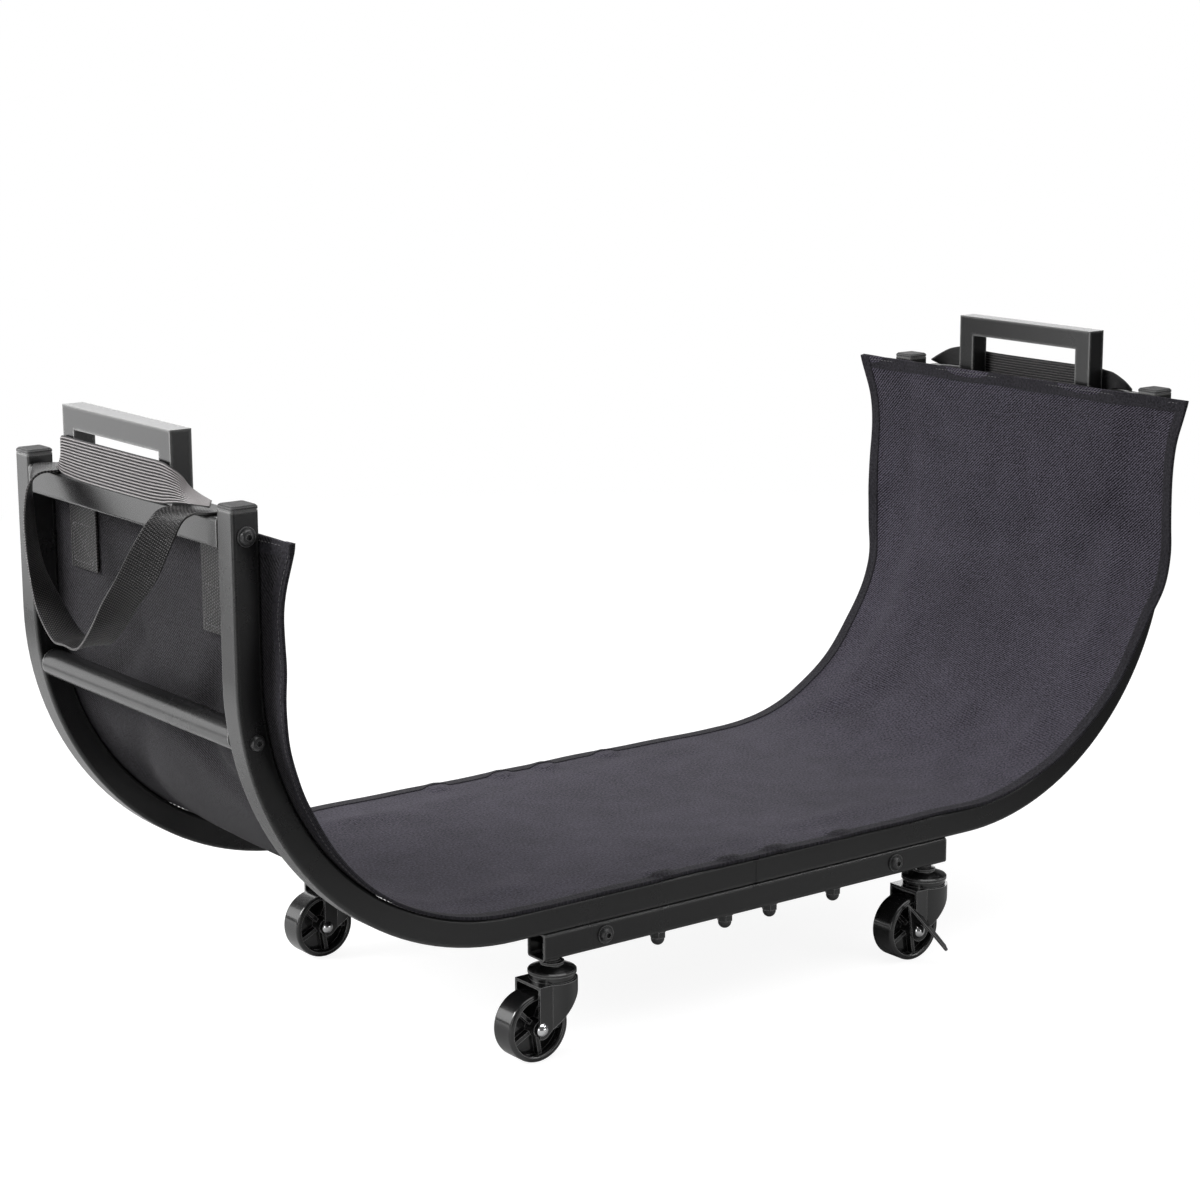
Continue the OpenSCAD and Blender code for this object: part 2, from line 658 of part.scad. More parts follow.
module stem() {
    head_z = plate_z - slide_gap - pin_head_h;
    color(zinc) {
        translate([0, 0, head_z]) cylinder(d = stem_d, h = rail_z + wall + stem_nut_h + 2 - head_z, $fn = 48);
        translate([0, 0, head_z]) cylinder(d = stem_d + 6, h = pin_head_h, $fn = 48);
        translate([0, 0, neck_z]) cylinder(d = stem_d + 4, h = neck_h, $fn = 48);
        translate([0, 0, race_top]) cylinder(d = race_d / 2, h = neck_flange_h, $fn = 48);
    }
}

module stem_nuts() {
    color(zinc) for (corner = CORNERS) at_caster(corner)
        translate([0, 0, rail_z + wall]) difference() {
            cylinder(d = stem_nut_af / cos(30), h = stem_nut_h, $fn = 6);
            translate([0, 0, -1]) cylinder(d = stem_d + 2 * run_gap, h = stem_nut_h + 2, $fn = 48);
        }
}

// The dished upper race, fixed to the stem
module race_cap() {
    r = race_d / 2;
    bore = stem_d / 2 + run_gap;
    rim_z = race_top - race_dish_h + 1.5;
    color(gloss_black) rotate_extrude($fn = 96) polygon([
        [bore, race_top], [r / 2, race_top], [r - 1, rim_z + 1], [r, rim_z],
        [r, rim_z - 2.7], [r - 1.5, rim_z - 2.7], [r - 1.5, rim_z - 0.6],
        [r / 2, race_top - 2], [bore, race_top - 2]]);
}

module ball_ring() {
    color(zinc) translate([0, 0, race_seat + slide_gap / 3 + ball_d / 2]) {
        for (i = [0 : ball_count - 1])
            rotate([0, 0, i * 360 / ball_count]) translate([ball_ring_r, 0, 0]) sphere(d = ball_d, $fn = 32);
        difference() {
            cylinder(r = ball_ring_r + 1.2, h = 1, center = true, $fn = 64);
            cylinder(r = ball_ring_r - 1.2, h = 2, center = true, $fn = 64);
        }
    }
}

// Where the line from p touches a circle at c, on the side given
function touch_point(p, c, r, side) =
    let (d = norm(c - p), a = atan2((p - c)[1], (p - c)[0]) + side * acos(r / d))
    c + r * [cos(a), sin(a)];

module fork_plan(inset) {
    circle(r = race_d / 2 + 1 - inset, $fn = 96);
    translate([-trail - fork_tail - (inset > 0 ? 5 : 0), -arm_y + inset])
        square([trail + fork_tail + (inset > 0 ? 5 : 0), fork_w - 2 * inset]);
}

// Side view of the fork, in x and z
module fork_side() {
    nose = [race_d / 2 + 1, fork_top - fork_nose_h];
    tail = [-trail - fork_tail, fork_top - fork_nose_h];
    hub = [-trail, axle_z];
    translate(hub) circle(r = fork_eye_r, $fn = 64);
    polygon([[tail[0], fork_top], [nose[0], fork_top], nose,
        touch_point(nose, hub, fork_eye_r, -1), hub, touch_point(tail, hub, fork_eye_r, 1), tail]);
}

module fork() {
    color(gloss_black) difference() {
        union() {
            intersection() {
                rotate([90, 0, 0]) linear_extrude(race_d + 4, center = true) fork_side();
                difference() {
                    linear_extrude(fork_top) fork_plan(0);
                    translate([0, 0, -1]) linear_extrude(plate_z + 1) fork_plan(fork_t);
                }
            }
            translate([0, 0, plate_z]) cylinder(r = race_d / 2 - 1.5, h = race_seat - plate_z, $fn = 96);
        }
        translate([0, 0, plate_z - 1]) cylinder(d = stem_d + 2 * run_gap, h = race_h, $fn = 64);
        translate([-trail, 0, axle_z]) round_along_y(axle_d + 2 * run_gap, race_d + 10);
    }
}

// The axle, with a domed end outside each arm; the lever's eye needs room on the front one
module axle(lever_room) {
    color(zinc) translate([-trail, 0, axle_z]) {
        translate([0, -lever_room / 2, 0]) round_along_y(axle_d, fork_w + lever_room);
        translate([0, -arm_y - lever_room, 0]) facing_out(-1) dome(axle_head_d, axle_head_h);
        translate([0, arm_y, 0]) facing_out(1) dome(axle_head_d, axle_head_h);
    }
}

module wheel() {
    r = wheel_d / 2;
    half = wheel_w / 2 - wheel_edge_r;
    color(gloss_black) translate([-trail, 0, axle_z]) rotate([90, 0, 0]) difference() {
        union() {
            rotate_extrude($fn = 128) {
                translate([r - rim_t, -wheel_w / 2]) square([rim_t - wheel_edge_r, wheel_w]);
                translate([r - rim_t, -half]) square([rim_t, 2 * half]);
                for (y = [-half, half]) translate([r - wheel_edge_r, y]) circle(wheel_edge_r, $fn = 48);
                translate([0, -web_t / 2]) square([r - rim_t + 0.5, web_t]);
            }
            cylinder(r = wheel_hub_r, h = hub_w, center = true, $fn = 64);
            for (i = [0 : rib_count - 1]) rotate([0, 0, i * 360 / rib_count + 63])
                translate([wheel_hub_r - 1, -rib_t / 2, -rib_w / 2])
                    cube([r - rim_t - wheel_hub_r + 1.5, rib_t, rib_w]);
        }
        cylinder(d = axle_d + 2 * run_gap, h = fork_w, center = true, $fn = 64);
    }
}

// A stamped lever whose eye turns on the axle, with a pedal bent outwards
module brake_lever() {
    apex = [-lever_r - 4, lever_r + 18];
    heel = [lever_r / 2, lever_r + 2];
    root_l = norm(heel - apex);
    edge_angle = -atan2((heel - apex)[1], (heel - apex)[0]);
    color(gloss_black) translate([-trail, -arm_y - slide_gap, axle_z]) {
        rotate([90, 0, 0]) linear_extrude(lever_t) difference() {
            union() {
                circle(r = lever_r, $fn = 64);
                polygon([[-lever_r, 0], apex, heel, [lever_r * cos(20), lever_r * sin(20)]]);
            }
            circle(d = axle_d + 2 * run_gap, $fn = 64);
        }
        translate([apex[0], -lever_t, apex[1]]) rotate([0, edge_angle, 0]) rotate([lever_tilt, 0, 0])
            translate([0, 0, -lever_t]) linear_extrude(lever_t) {
                polygon([[0, 1.2], [root_l, 1.2], [root_l + 0.5, -1.5], [root_l + 6, -4],
                    [lever_tip, 9 - lever_reach], [lever_tip - 1, 3 - lever_reach],
                    [lever_tip - 6, 1 - lever_reach]]);
                translate([lever_tip - 4, 4 - lever_reach]) circle(r = 4, $fn = 32);
            }
    }
}

frame_half(-1, -1);  // frame_front_left
frame_half(1, -1);  // frame_front_right
frame_half(-1, 1);  // frame_back_left
frame_half(1, 1);  // frame_back_right
frame_splices();
end_caps();
crossbar(-1);  // crossbar_left
crossbar(1);  // crossbar_right
handle(-1);  // handle_left
handle(1);  // handle_right
lower_bar(-1);  // lower_bar_left
lower_bar(1);  // lower_bar_right
bar_inserts();
rail(-1);  // rail_front
rail(1);  // rail_back
cross_tube(-1);  // cross_tube_left
cross_tube(1);  // cross_tube_right
crossbar_bolts();
lower_bar_bolts();
rail_bolts();
washers();
clamp_bolts();
cap_nuts();
stem_nuts();
liner();
carry_strap(-1);  // carry_strap_left
carry_strap(1);  // carry_strap_right
grip_band(-1);  // grip_band_left
grip_band(1);  // grip_band_right
for (corner = CORNERS) at_caster(corner) {
    stem();
    race_cap();
    ball_ring();
    fork();
    axle(corner[1] == "r" ? lever_room : 0);
    wheel();
    if (corner[1] == "r")
        brake_lever();
}
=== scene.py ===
import bpy
import bmesh
import math
from mathutils import Matrix, Vector


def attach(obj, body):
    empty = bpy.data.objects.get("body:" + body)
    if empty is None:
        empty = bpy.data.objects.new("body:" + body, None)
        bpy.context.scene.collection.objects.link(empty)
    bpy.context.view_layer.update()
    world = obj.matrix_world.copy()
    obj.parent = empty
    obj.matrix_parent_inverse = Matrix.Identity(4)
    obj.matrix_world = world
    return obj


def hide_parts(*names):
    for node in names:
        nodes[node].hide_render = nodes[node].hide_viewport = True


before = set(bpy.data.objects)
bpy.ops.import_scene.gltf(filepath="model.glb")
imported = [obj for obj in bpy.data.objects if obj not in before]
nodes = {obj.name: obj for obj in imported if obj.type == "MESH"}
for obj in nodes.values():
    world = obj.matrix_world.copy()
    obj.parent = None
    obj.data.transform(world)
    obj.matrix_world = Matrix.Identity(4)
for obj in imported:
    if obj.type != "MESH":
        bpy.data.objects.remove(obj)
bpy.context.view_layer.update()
print("frame loaded:", len(nodes), "nodes")


# camera: where the photograph was taken from, in metres and radians
view = {
    "place": (-1.66676, -2.16796, 0.94069), "yaw": 0.64504, "pitch": -0.21174, "roll": -0.00361,
    "lens": 87.32, "sensor": 36, "farthest": 60}


def setCamera():
    data = bpy.data.cameras.new("camera")
    data.lens = view["lens"]
    data.sensor_width = view["sensor"]
    data.clip_end = view["farthest"]
    cam = bpy.data.objects.new("camera", data)
    turn = (Matrix.Rotation(-view["yaw"], 4, "Z")
            @ Matrix.Rotation(math.pi / 2 + view["pitch"], 4, "X")
            @ Matrix.Rotation(view["roll"], 4, "Z"))
    cam.matrix_world = Matrix.Translation(view["place"]) @ turn
    bpy.context.scene.collection.objects.link(cam)
    bpy.context.scene.camera = cam


setCamera()
print("camera set")


# shader maths written as plain expressions
class Socket:
    def __init__(self, look, link):
        self.look = look
        self.link = link

    def maths(self, operation, *others):
        values = {i + 1: v for i, v in enumerate(others)}
        return self.look.make("ShaderNodeMath", {"operation": operation}, {0: self, **values})

    def __add__(self, other): return self.maths("ADD", other)
    def __radd__(self, other): return self.maths("ADD", other)
    def __sub__(self, other): return self.maths("SUBTRACT", other)
    def __mul__(self, other): return self.maths("MULTIPLY", other)
    def __rmul__(self, other): return self.maths("MULTIPLY", other)
    def __truediv__(self, other): return self.maths("DIVIDE", other)

    def __rsub__(self, other):
        return self.look.make("ShaderNodeMath", {"operation": "SUBTRACT"}, {0: other, 1: self})

    def clamped(self): return self.look.make("ShaderNodeClamp", {}, {"Value": self})
    def absolute(self): return self.maths("ABSOLUTE")
    def sine(self): return self.maths("SINE")
    def above(self, edge): return self.maths("GREATER_THAN", edge)
    def modulo(self, step): return self.maths("FLOORED_MODULO", step)

    # only the highest parts, from 0 to 1
    def peaks(self, gain, less): return (self * gain - less).clamped()

    def between(self, low, high, newLow=0.0, newHigh=1.0):
        return self.look.make("ShaderNodeMapRange", {}, {
            "Value": self, "From Min": low, "From Max": high, "To Min": newLow, "To Max": newHigh})


# a node tree; the one way that nodes are made and linked
class NodeTree:
    def __init__(self, tree):
        self.tree = tree

    def make(self, kind, settings, values, out=0):
        node = self.tree.nodes.new(kind)
        for key, value in settings.items():
            setattr(node, key, value)
        for key, value in values.items():
            if isinstance(value, Socket):
                self.tree.links.new(value.link, node.inputs[key])
            else:
                node.inputs[key].default_value = value
        return Socket(self, node.outputs[out])


class Look(NodeTree):
    def __init__(self, name, **fixed):
        self.material = bpy.data.materials.new(name)
        self.material.use_nodes = True
        super().__init__(self.material.node_tree)
        self.shader = self.tree.nodes["Principled BSDF"]
        for key, value in fixed.items():
            self.shader.inputs[key.replace("_", " ")].default_value = value

    def place(self):
        return self.make("ShaderNodeTexCoord", {}, {}, "Object")

    # the piece's own flat coordinates, in metres along and across it
    def cloth(self):
        flat = self.make("ShaderNodeUVMap", {"uv_map": "cloth"}, {})
        along = self.make("ShaderNodeSeparateXYZ", {}, {0: flat}, "X")
        across = self.make("ShaderNodeSeparateXYZ", {}, {0: flat}, "Y")
        return flat, along, across

    def noise(self, where, scale, detail=2.0, rough=0.5):
        return self.make("ShaderNodeTexNoise", {}, {
            "Vector": where, "Scale": scale, "Detail": detail, "Roughness": rough})

    def mix(self, amount, first, second):
        first, second = (v if isinstance(v, Socket) else (*v, 1) for v in (first, second))
        return self.make("ShaderNodeMix", {"data_type": "RGBA"}, {0: amount, 6: first, 7: second}, 2)

    # 1 along a rounded edge of the piece, 0 on its faces; the finishes paint a pale highlight colour
    # with it
    def edges(self, radius, gain):
        rounded = self.make("ShaderNodeBevel", {"samples": 4}, {"Radius": radius})
        facing = self.make("ShaderNodeNewGeometry", {}, {}, "Normal")
        alike = self.make("ShaderNodeVectorMath", {"operation": "DOT_PRODUCT"},
                          {0: rounded, 1: facing}, "Value")
        return ((1 - alike) * gain).clamped()

    def bump(self, height, distance, strength=1.0, below=None):
        values = {"Height": height, "Distance": distance, "Strength": strength}
        if below is not None:
            values["Normal"] = below
        return self.make("ShaderNodeBump", {}, values)

    def feed(self, **sockets):
        for key, value in sockets.items():
            self.tree.links.new(value.link, self.shader.inputs[key.replace("_", " ")])
        return self.material


# colours of the finishes, with the painted edge and rib crown highlights, dark before light
shades = {
    "coat": (0.0075, 0.0075, 0.0078), "coatRubbed": (0.018, 0.0177, 0.0177),
    "coatEdgeHighlight": (0.24, 0.24, 0.237),
    "bolt": (0.05, 0.05, 0.051), "boltMarks": (0.11, 0.11, 0.11), "boltEdgeHighlight": (0.5, 0.5, 0.5),
    "cap": (0.01, 0.01, 0.0106), "capCloud": (0.019, 0.019, 0.0198), "capEdgeHighlight": (0.3, 0.3, 0.3),
    "caster": (0.005, 0.005, 0.00525), "wheel": (0.0065, 0.0065, 0.006825),
    "glossWorn": (0.03, 0.03, 0.03), "glossEdgeHighlight": (0.3, 0.3, 0.3),
    "zinc": (0.42, 0.42, 0.41), "zincPale": (0.62, 0.62, 0.6),
    "chrome": (0.72, 0.72, 0.73), "chromePale": (0.86, 0.86, 0.87),
    "canvasOut": (0.003, 0.0026, 0.004), "canvasOutPale": (0.115, 0.105, 0.137),
    "canvasIn": (0.003, 0.0028, 0.0034), "canvasInPale": (0.046, 0.0435, 0.050),
    "hem": (0.0034, 0.0031, 0.0042), "hemPale": (0.052, 0.049, 0.059),
    "webbing": (0.0012, 0.0011, 0.0014), "webbingCrownHighlight": (0.095, 0.091, 0.091),
    "band": (0.0025, 0.0022, 0.003), "bandCrownHighlight": (0.27, 0.253, 0.254),
    "thread": (0.05, 0.048, 0.054), "threadPale": (0.14, 0.136, 0.142)}

# repeats of the fabrics, in metres
weaves = {
    "canvas": 0.0033, "hem": 0.0015, "webbingRib": 0.0027, "webbingCord": 0.0029,
    "webbingWidth": 0.048, "selvedge": 0.0020, "bandRib": 0.036 / 13, "bandTurn": 0.0022}

seamHalf = 0.004  # the painted edge highlight is left off the splice seam at the middle, so the seam stays dark


def powderCoat():
    look = Look("powderCoat", IOR=1.5)
    where = look.place()
    grain = look.noise(where, scale=1400, detail=2)
    drift = look.noise(where, scale=9, detail=3)
    rubbed = (look.noise(where, scale=90, detail=4, rough=0.6).peaks(gain=2.2, less=0.9)
              * drift.peaks(gain=1.6, less=0.4))
    sideways = look.make("ShaderNodeSeparateXYZ", {}, {0: where}, "X")
    # pale colour painted along the rounded edges: a painted highlight, left off at the splice seam
    edge = look.edges(radius=0.0034, gain=5.0) * sideways.absolute().above(seamHalf)
    colour = look.mix(rubbed * 0.3, shades["coat"], shades["coatRubbed"])
    colour = look.mix(edge * 0.9, colour, shades["coatEdgeHighlight"])
    relief = look.bump(grain, distance=0.00022, strength=0.08)
    return look.feed(Base_Color=colour, Roughness=0.24 + drift * 0.05 + rubbed * 0.02, Normal=relief)


def blackFastener():
    look = Look("blackFastener", Metallic=0.5, IOR=1.5)
    marks = look.noise(look.place(), scale=420, detail=4, rough=0.7)
    # pale colour painted along the rounded edges of the heads: a painted highlight
    edge = look.edges(radius=0.0009, gain=3.0)
    colour = look.mix(marks.peaks(gain=2.4, less=1.2), shades["bolt"], shades["boltMarks"])
    colour = look.mix(edge * 0.8, colour, shades["boltEdgeHighlight"])
    relief = look.bump(marks, distance=0.0002, strength=0.3)
    return look.feed(Base_Color=colour, Roughness=0.24 + marks * 0.16, Normal=relief)


def mouldedCap():
    look = Look("mouldedCap", IOR=1.38)
    where = look.place()
    grain = look.noise(where, scale=1900, detail=2)
    cloud = look.noise(where, scale=60, detail=2)
    # pale colour painted along the rounded edges of the caps: a painted highlight
    edge = look.edges(radius=0.0022, gain=5.0)
    colour = look.mix(cloud, shades["cap"], shades["capCloud"])
    colour = look.mix(edge * 0.9, colour, shades["capEdgeHighlight"])
    relief = look.bump(grain, distance=0.00025, strength=0.5)
    return look.feed(Base_Color=colour, Roughness=0.5 + cloud * 0.1, Normal=relief)


def glossCoat(name, rough, shade):
    look = Look(name, IOR=1.52, Coat_Roughness=0.05)
    where = look.place()
    peel = look.noise(where, scale=260, detail=1)
    scuff = look.noise(where, scale=700, detail=5, rough=0.7)
    drift = look.noise(where, scale=25, detail=3)
    worn = scuff.peaks(gain=3, less=1.7) * drift.peaks(gain=2, less=0.7)
    # pale colour painted along the rounded edges of forks and wheels: a painted highlight
    edge = look.edges(radius=0.0015, gain=5.0)
    colour = look.mix(worn * 0.7, shade, shades["glossWorn"])
    colour = look.mix(edge * 0.9, colour, shades["glossEdgeHighlight"])
    relief = look.bump(peel, distance=0.0003, strength=0.10)
    return look.feed(Base_Color=colour, Roughness=rough + worn * 0.2 + drift * 0.05,
                     Coat_Weight=0.6 - worn * 0.4, Normal=relief)


def zincPlate():
    look = Look("zincPlate", Metallic=1.0)
    cloud = look.noise(look.place(), scale=140, detail=4, rough=0.6)
    colour = look.mix(cloud, shades["zinc"], shades["zincPale"])
    relief = look.bump(cloud, distance=0.0002, strength=0.3)
    return look.feed(Base_Color=colour, Roughness=0.3 + cloud * 0.2, Normal=relief)


def chromeEnd():
    look = Look("chromeEnd", Metallic=1.0)
    swirl = look.noise(look.place(), scale=500, detail=3, rough=0.6)
    colour = look.mix(swirl, shades["chrome"], shades["chromePale"])
    relief = look.bump(swirl, distance=0.0001, strength=0.2)
    return look.feed(Base_Color=colour, Roughness=0.1 + swirl * 0.12, Normal=relief)


def wovenCanvas(name, dark, light, weaveStep):
    look = Look(name, IOR=1.22, Sheen_Weight=0.04, Sheen_Roughness=0.4)
    flat, along, across = look.cloth()
    turn = 2 * math.pi / weaveStep
    twill = ((along + across * 0.9) * turn).sine()
    broken = ((along * 0.35 - across) * (turn * 0.8)).sine() * 0.35 + 0.65
    weave = twill * broken * 0.5 + 0.5
    slub = look.noise(flat, scale=420, detail=3, rough=0.65)
    cloud = look.noise(flat, scale=26, detail=4, rough=0.6)
    fade = look.noise(flat, scale=5, detail=2)
    tone = ((weave - 0.5) * 1.0 + (slub - 0.5) * 1.9 + (cloud - 0.5) * 0.35 + (fade - 0.5) * 0.3
            + 0.42)
    colour = look.mix(tone.clamped(), dark, light)
    relief = look.bump(weave + slub * 0.8, distance=weaveStep * 0.36, strength=0.9)
    relief = look.bump(cloud, distance=0.004, strength=0.3, below=relief)
    return look.feed(Base_Color=colour, Roughness=0.88 - weave * 0.22, Normal=relief)


def strapWebbing():
    look = Look("webbingBlack", IOR=1.36, Sheen_Weight=0.02, Sheen_Roughness=0.4)
    flat, along, across = look.cloth()
    column = across / weaves["webbingCord"]
    shifted = along / weaves["webbingRib"] + column.modulo(2.0).above(1.0) * 0.5
    ribs = (shifted * (2 * math.pi)).sine() * 0.5 + 0.5
    cords = (column * math.pi).sine().absolute()
    slub = look.noise(flat, scale=700, detail=3, rough=0.6)
    fade = look.noise(flat, scale=12, detail=3)
    # the raised thread crowns are painted pale as a highlight, and the gaps between them stay dark as
    # painted shade
    liftedAndHighlight = (ribs * cords).peaks(gain=3.2, less=1.1)
    half = weaves["webbingWidth"] / 2
    selvedge = (((across - half).absolute() - (half - weaves["selvedge"])) * 900).clamped()
    tone = (liftedAndHighlight * (slub * 0.9 + 0.4) + fade * 0.12 - 0.08 + selvedge * 0.35).clamped()
    colour = look.mix(tone, shades["webbing"], shades["webbingCrownHighlight"])
    relief = look.bump(liftedAndHighlight + slub * 0.2, distance=0.0019)
    return look.feed(Base_Color=colour, Roughness=0.38 - liftedAndHighlight * 0.1, Normal=relief)


def ribbedBand():
    look = Look("bandBlack", IOR=1.5)
    flat, along, across = look.cloth()
    ribs = (across * (math.pi / weaves["bandRib"])).sine().absolute()
    turns = (along * (2 * math.pi / weaves["bandTurn"]) + across * 900).sine() * 0.5 + 0.5
    slub = look.noise(flat, scale=600, detail=3, rough=0.6)
    # the rib crowns are painted pale as a highlight, and the grooves between them stay dark as painted
    # shade
    crownsAndHighlight = ribs.peaks(gain=3.4, less=2.3)
    tone = (crownsAndHighlight * 0.9 + turns * 0.05 + slub * 0.2 - 0.14).clamped()
    colour = look.mix(tone, shades["band"], shades["bandCrownHighlight"])
    relief = look.bump(crownsAndHighlight + turns * 0.08, distance=0.0012)
    return look.feed(Base_Color=colour, Roughness=0.6 - crownsAndHighlight * 0.24, Normal=relief)


def sewingThread():
    look = Look("sewingThread", IOR=1.45, Sheen_Weight=0.2)
    twist = look.noise(look.place(), scale=2500, detail=2)
    colour = look.mix(twist, shades["thread"], shades["threadPale"])
    relief = look.bump(twist, distance=0.0002, strength=0.5)
    return look.feed(Base_Color=colour, Roughness=0.6 + twist * 0.2, Normal=relief)


frameCoat = powderCoat()
fastenerBlack = blackFastener()
capBlack = mouldedCap()
casterCoat = glossCoat("casterCoat", 0.2, shades["caster"])
wheelGloss = glossCoat("wheelGloss", 0.22, shades["wheel"])
zinc = zincPlate()
chrome = chromeEnd()
canvasOut = wovenCanvas("canvasOut", shades["canvasOut"], shades["canvasOutPale"], weaves["canvas"])
canvasIn = wovenCanvas("canvasIn", shades["canvasIn"], shades["canvasInPale"], weaves["canvas"])
canvasHem = wovenCanvas("canvasHem", shades["hem"], shades["hemPale"], weaves["hem"])
webbingBlack = strapWebbing()
bandBlack = ribbedBand()
thread = sewingThread()
print("materials made")


# rigid nodes keep their CAD shape
corners = ("fl", "fr", "bl", "br")
finishes = [
    (frameCoat, ["frame_front_left", "frame_front_right", "frame_back_left", "frame_back_right",
                 "crossbar_left", "crossbar_right", "handle_left", "handle_right",
                 "lower_bar_left", "lower_bar_right", "rail_front", "rail_back",
                 "cross_tube_left", "cross_tube_right"]),
    (zinc, ["frame_splices", "bar_inserts", "stem_nuts"] + ["ball_ring_" + c for c in corners]),
    (capBlack, ["end_caps"]),
    (fastenerBlack, ["crossbar_bolts", "lower_bar_bolts", "rail_bolts", "washers", "clamp_bolts",
                     "cap_nuts"]),
    (casterCoat, [part + c for part in ("fork_", "race_cap_", "stem_") for c in corners]
     + ["brake_lever_fr", "brake_lever_br"]),
    (wheelGloss, ["wheel_" + c for c in corners]),
    (chrome, ["axle_" + c for c in corners]),
]
for material, names in finishes:
    for name in names:
        slots = nodes[name].material_slots
        if not slots:
            nodes[name].data.materials.append(material)
        for nodeSlot in slots:
            nodeSlot.material = material
print("rigid nodes finished")


def ease(t):
    t = min(1, max(0, t))
    return t * t * (3 - 2 * t)


def addPiece(name, mesh, materials):
    piece = bpy.data.objects.new(name, mesh)
    bpy.context.scene.collection.objects.link(piece)
    for material in materials:
        mesh.materials.append(material)
    mesh.shade_smooth()
    return piece


# a grid laid along and across a cloth, then moved to where spot() puts each point
def clothGrid(name, steps, rows, alongRange, acrossRange, uvWidth, spot):
    shape = bmesh.new()
    uv = shape.loops.layers.uv.new("cloth")
    bmesh.ops.create_grid(shape, x_segments=steps, y_segments=rows, size=0.5)
    (alongLow, alongHigh), (acrossLow, acrossHigh) = alongRange, acrossRange
    flat = {}
    for vert in shape.verts:
        along = alongLow + (vert.co.x + 0.5) * (alongHigh - alongLow)
        across = acrossLow + (vert.co.y + 0.5) * (acrossHigh - acrossLow)
        flat[vert] = (along, across)
    for face in shape.faces:
        for loop in face.loops:
            along, across = flat[loop.vert]
            loop[uv].uv = (along, across * uvWidth)
    for vert in shape.verts:
        vert.co = spot(*flat[vert])
    mesh = bpy.data.meshes.new(name)
    shape.normal_update()
    shape.to_mesh(mesh)
    shape.free()
    return mesh


def thicken(piece, thickness, inner=0):
    solid = piece.modifiers.new("thickness", "SOLIDIFY")
    solid.thickness = thickness
    solid.offset = 0
    solid.material_offset = inner


# liner: one cloth hung inside the frame, with its hems and stitching, in metres
liner = {
    # the line it follows: two walls, two bends and the floor, inside the side frames
    "thickness": 0.0016, "bendX": 0.2725, "bendZ": 0.386, "radius": 0.2412,
    "topLeft": 0.5055, "topRight": 0.5257, "halfFrame": 0.1915, "tube": 0.025, "crossbarTop": 0.519,
    # how it lies on the tubes, dips round their clamp bolts and sags between them
    "gap": 0.0034, "clear": 0.002, "tubeLead": 0.030, "tubeRun": 0.032, "lieShare": 0.7,
    "boltY": 0.179, "bolts": (-0.106, -0.027, 0.027, 0.106),
    "boltDip": 0.0031, "boltReach": 0.017, "boltRun": 0.010,
    "sag": 0.010, "billow": 0.0022, "billowWidth": 0.150, "billowTurn": 17, "billowRun": 0.2,
    "floorFrom": 0.9, "mostOnFloor": 0.006, "mostOnWall": 0.0022, "wrinkleReach": 2.5,
    # its free edges, and the lean of the back corner at the right end
    "curl": 0.0035, "curlRun": 0.03, "curlLeast": 0.6, "curlPace": 31, "curlShift": 2,
    "edgeTrim": 0.001, "edgeWaves": ((0.0012, 23, 1), (0.0008, 61, 0)), "waveRun": 0.1,
    "blurSteps": 3, "blurStep": 0.003, "lean": 0.006, "leanRun": 0.10,
    # hems along the sides, turned bands at the tops, and the stitching
    "hem": 0.012, "hemThickness": 0.0027, "hemPast": 0.0006, "hemLift": 0.0004, "hemInset": 0.0032,
    "band": 0.013, "bandThickness": 0.0026, "bandPast": 0.0005, "bandInset": 0.0036,
    "foldDepth": 0.0014, "foldPace": 9, "foldShift": 2, "riseHeight": 0.0005, "risePace": 14,
    "stitch": 0.0046,
    # how finely the cloth is made, and the width that its weave is scaled to
    "steps": 340, "rows": 132, "hemRows": 8, "bandSteps": 16, "bandRows": 110,
    "clothScale": 0.215, "bandScale": 0.225}
leftWall = liner["topLeft"] - liner["bendZ"]
quarter = math.pi / 2 * liner["radius"]
flatRun = 2 * liner["bendX"]
rightWall = liner["topRight"] - liner["bendZ"]
linerLength = leftWall + 2 * quarter + flatRun + rightWall

# how far the edge passes the side frames, at distances along the cloth from each top edge
edgeBelow = [(0.15, 0.031), (0.19, 0.025), (0.22, 0.0178), (0.3, 0.0136), (0.42, 0.0032), (2, 0.0032)]
edgeLeft = [(0, 0.046), (0.02, 0.0349), (0.04, 0.0256), (0.06, 0.022), (0.082, 0.025),
            (0.105, 0.0298)] + edgeBelow
edgeRight = [(0, 0.0436), (0.04, 0.0346), (0.09, 0.0322)] + edgeBelow
halfWidths = {}  # found once for each distance along the cloth

# soft wrinkles: start and end along the cloth and across it, width and depth, in metres
wrinkles = [
    (0.105, -0.125, 0.200, -0.060, 0.017, -0.0075), (0.190, -0.020, 0.250, -0.100, 0.018, -0.0060),
    (0.210, 0.060, 0.300, 0.140, 0.020, -0.0060), (0.120, 0.020, 0.170, 0.080, 0.014, -0.0045),
    (0.330, -0.140, 0.420, -0.060, 0.022, 0.0030), (0.360, 0.150, 0.440, 0.070, 0.020, 0.0030),
    (0.470, -0.150, 0.560, -0.110, 0.016, -0.0024), (0.500, 0.150, 0.600, 0.120, 0.016, -0.0024),
    (0.640, -0.150, 0.720, -0.130, 0.018, 0.0028), (0.700, 0.140, 0.800, 0.150, 0.018, 0.0026),
    (0.860, -0.145, 0.950, -0.125, 0.018, -0.0026), (0.900, 0.120, 1.000, 0.150, 0.018, 0.0028),
    (1.080, -0.140, 1.180, -0.060, 0.022, 0.0032), (1.100, 0.140, 1.200, 0.070, 0.020, 0.0030),
    (1.260, -0.150, 1.330, -0.080, 0.018, -0.0026), (1.250, 0.060, 1.340, 0.130, 0.020, 0.0028),
    (1.380, -0.110, 1.450, -0.150, 0.014, 0.0022), (1.400, 0.030, 1.440, 0.100, 0.016, -0.0020)]


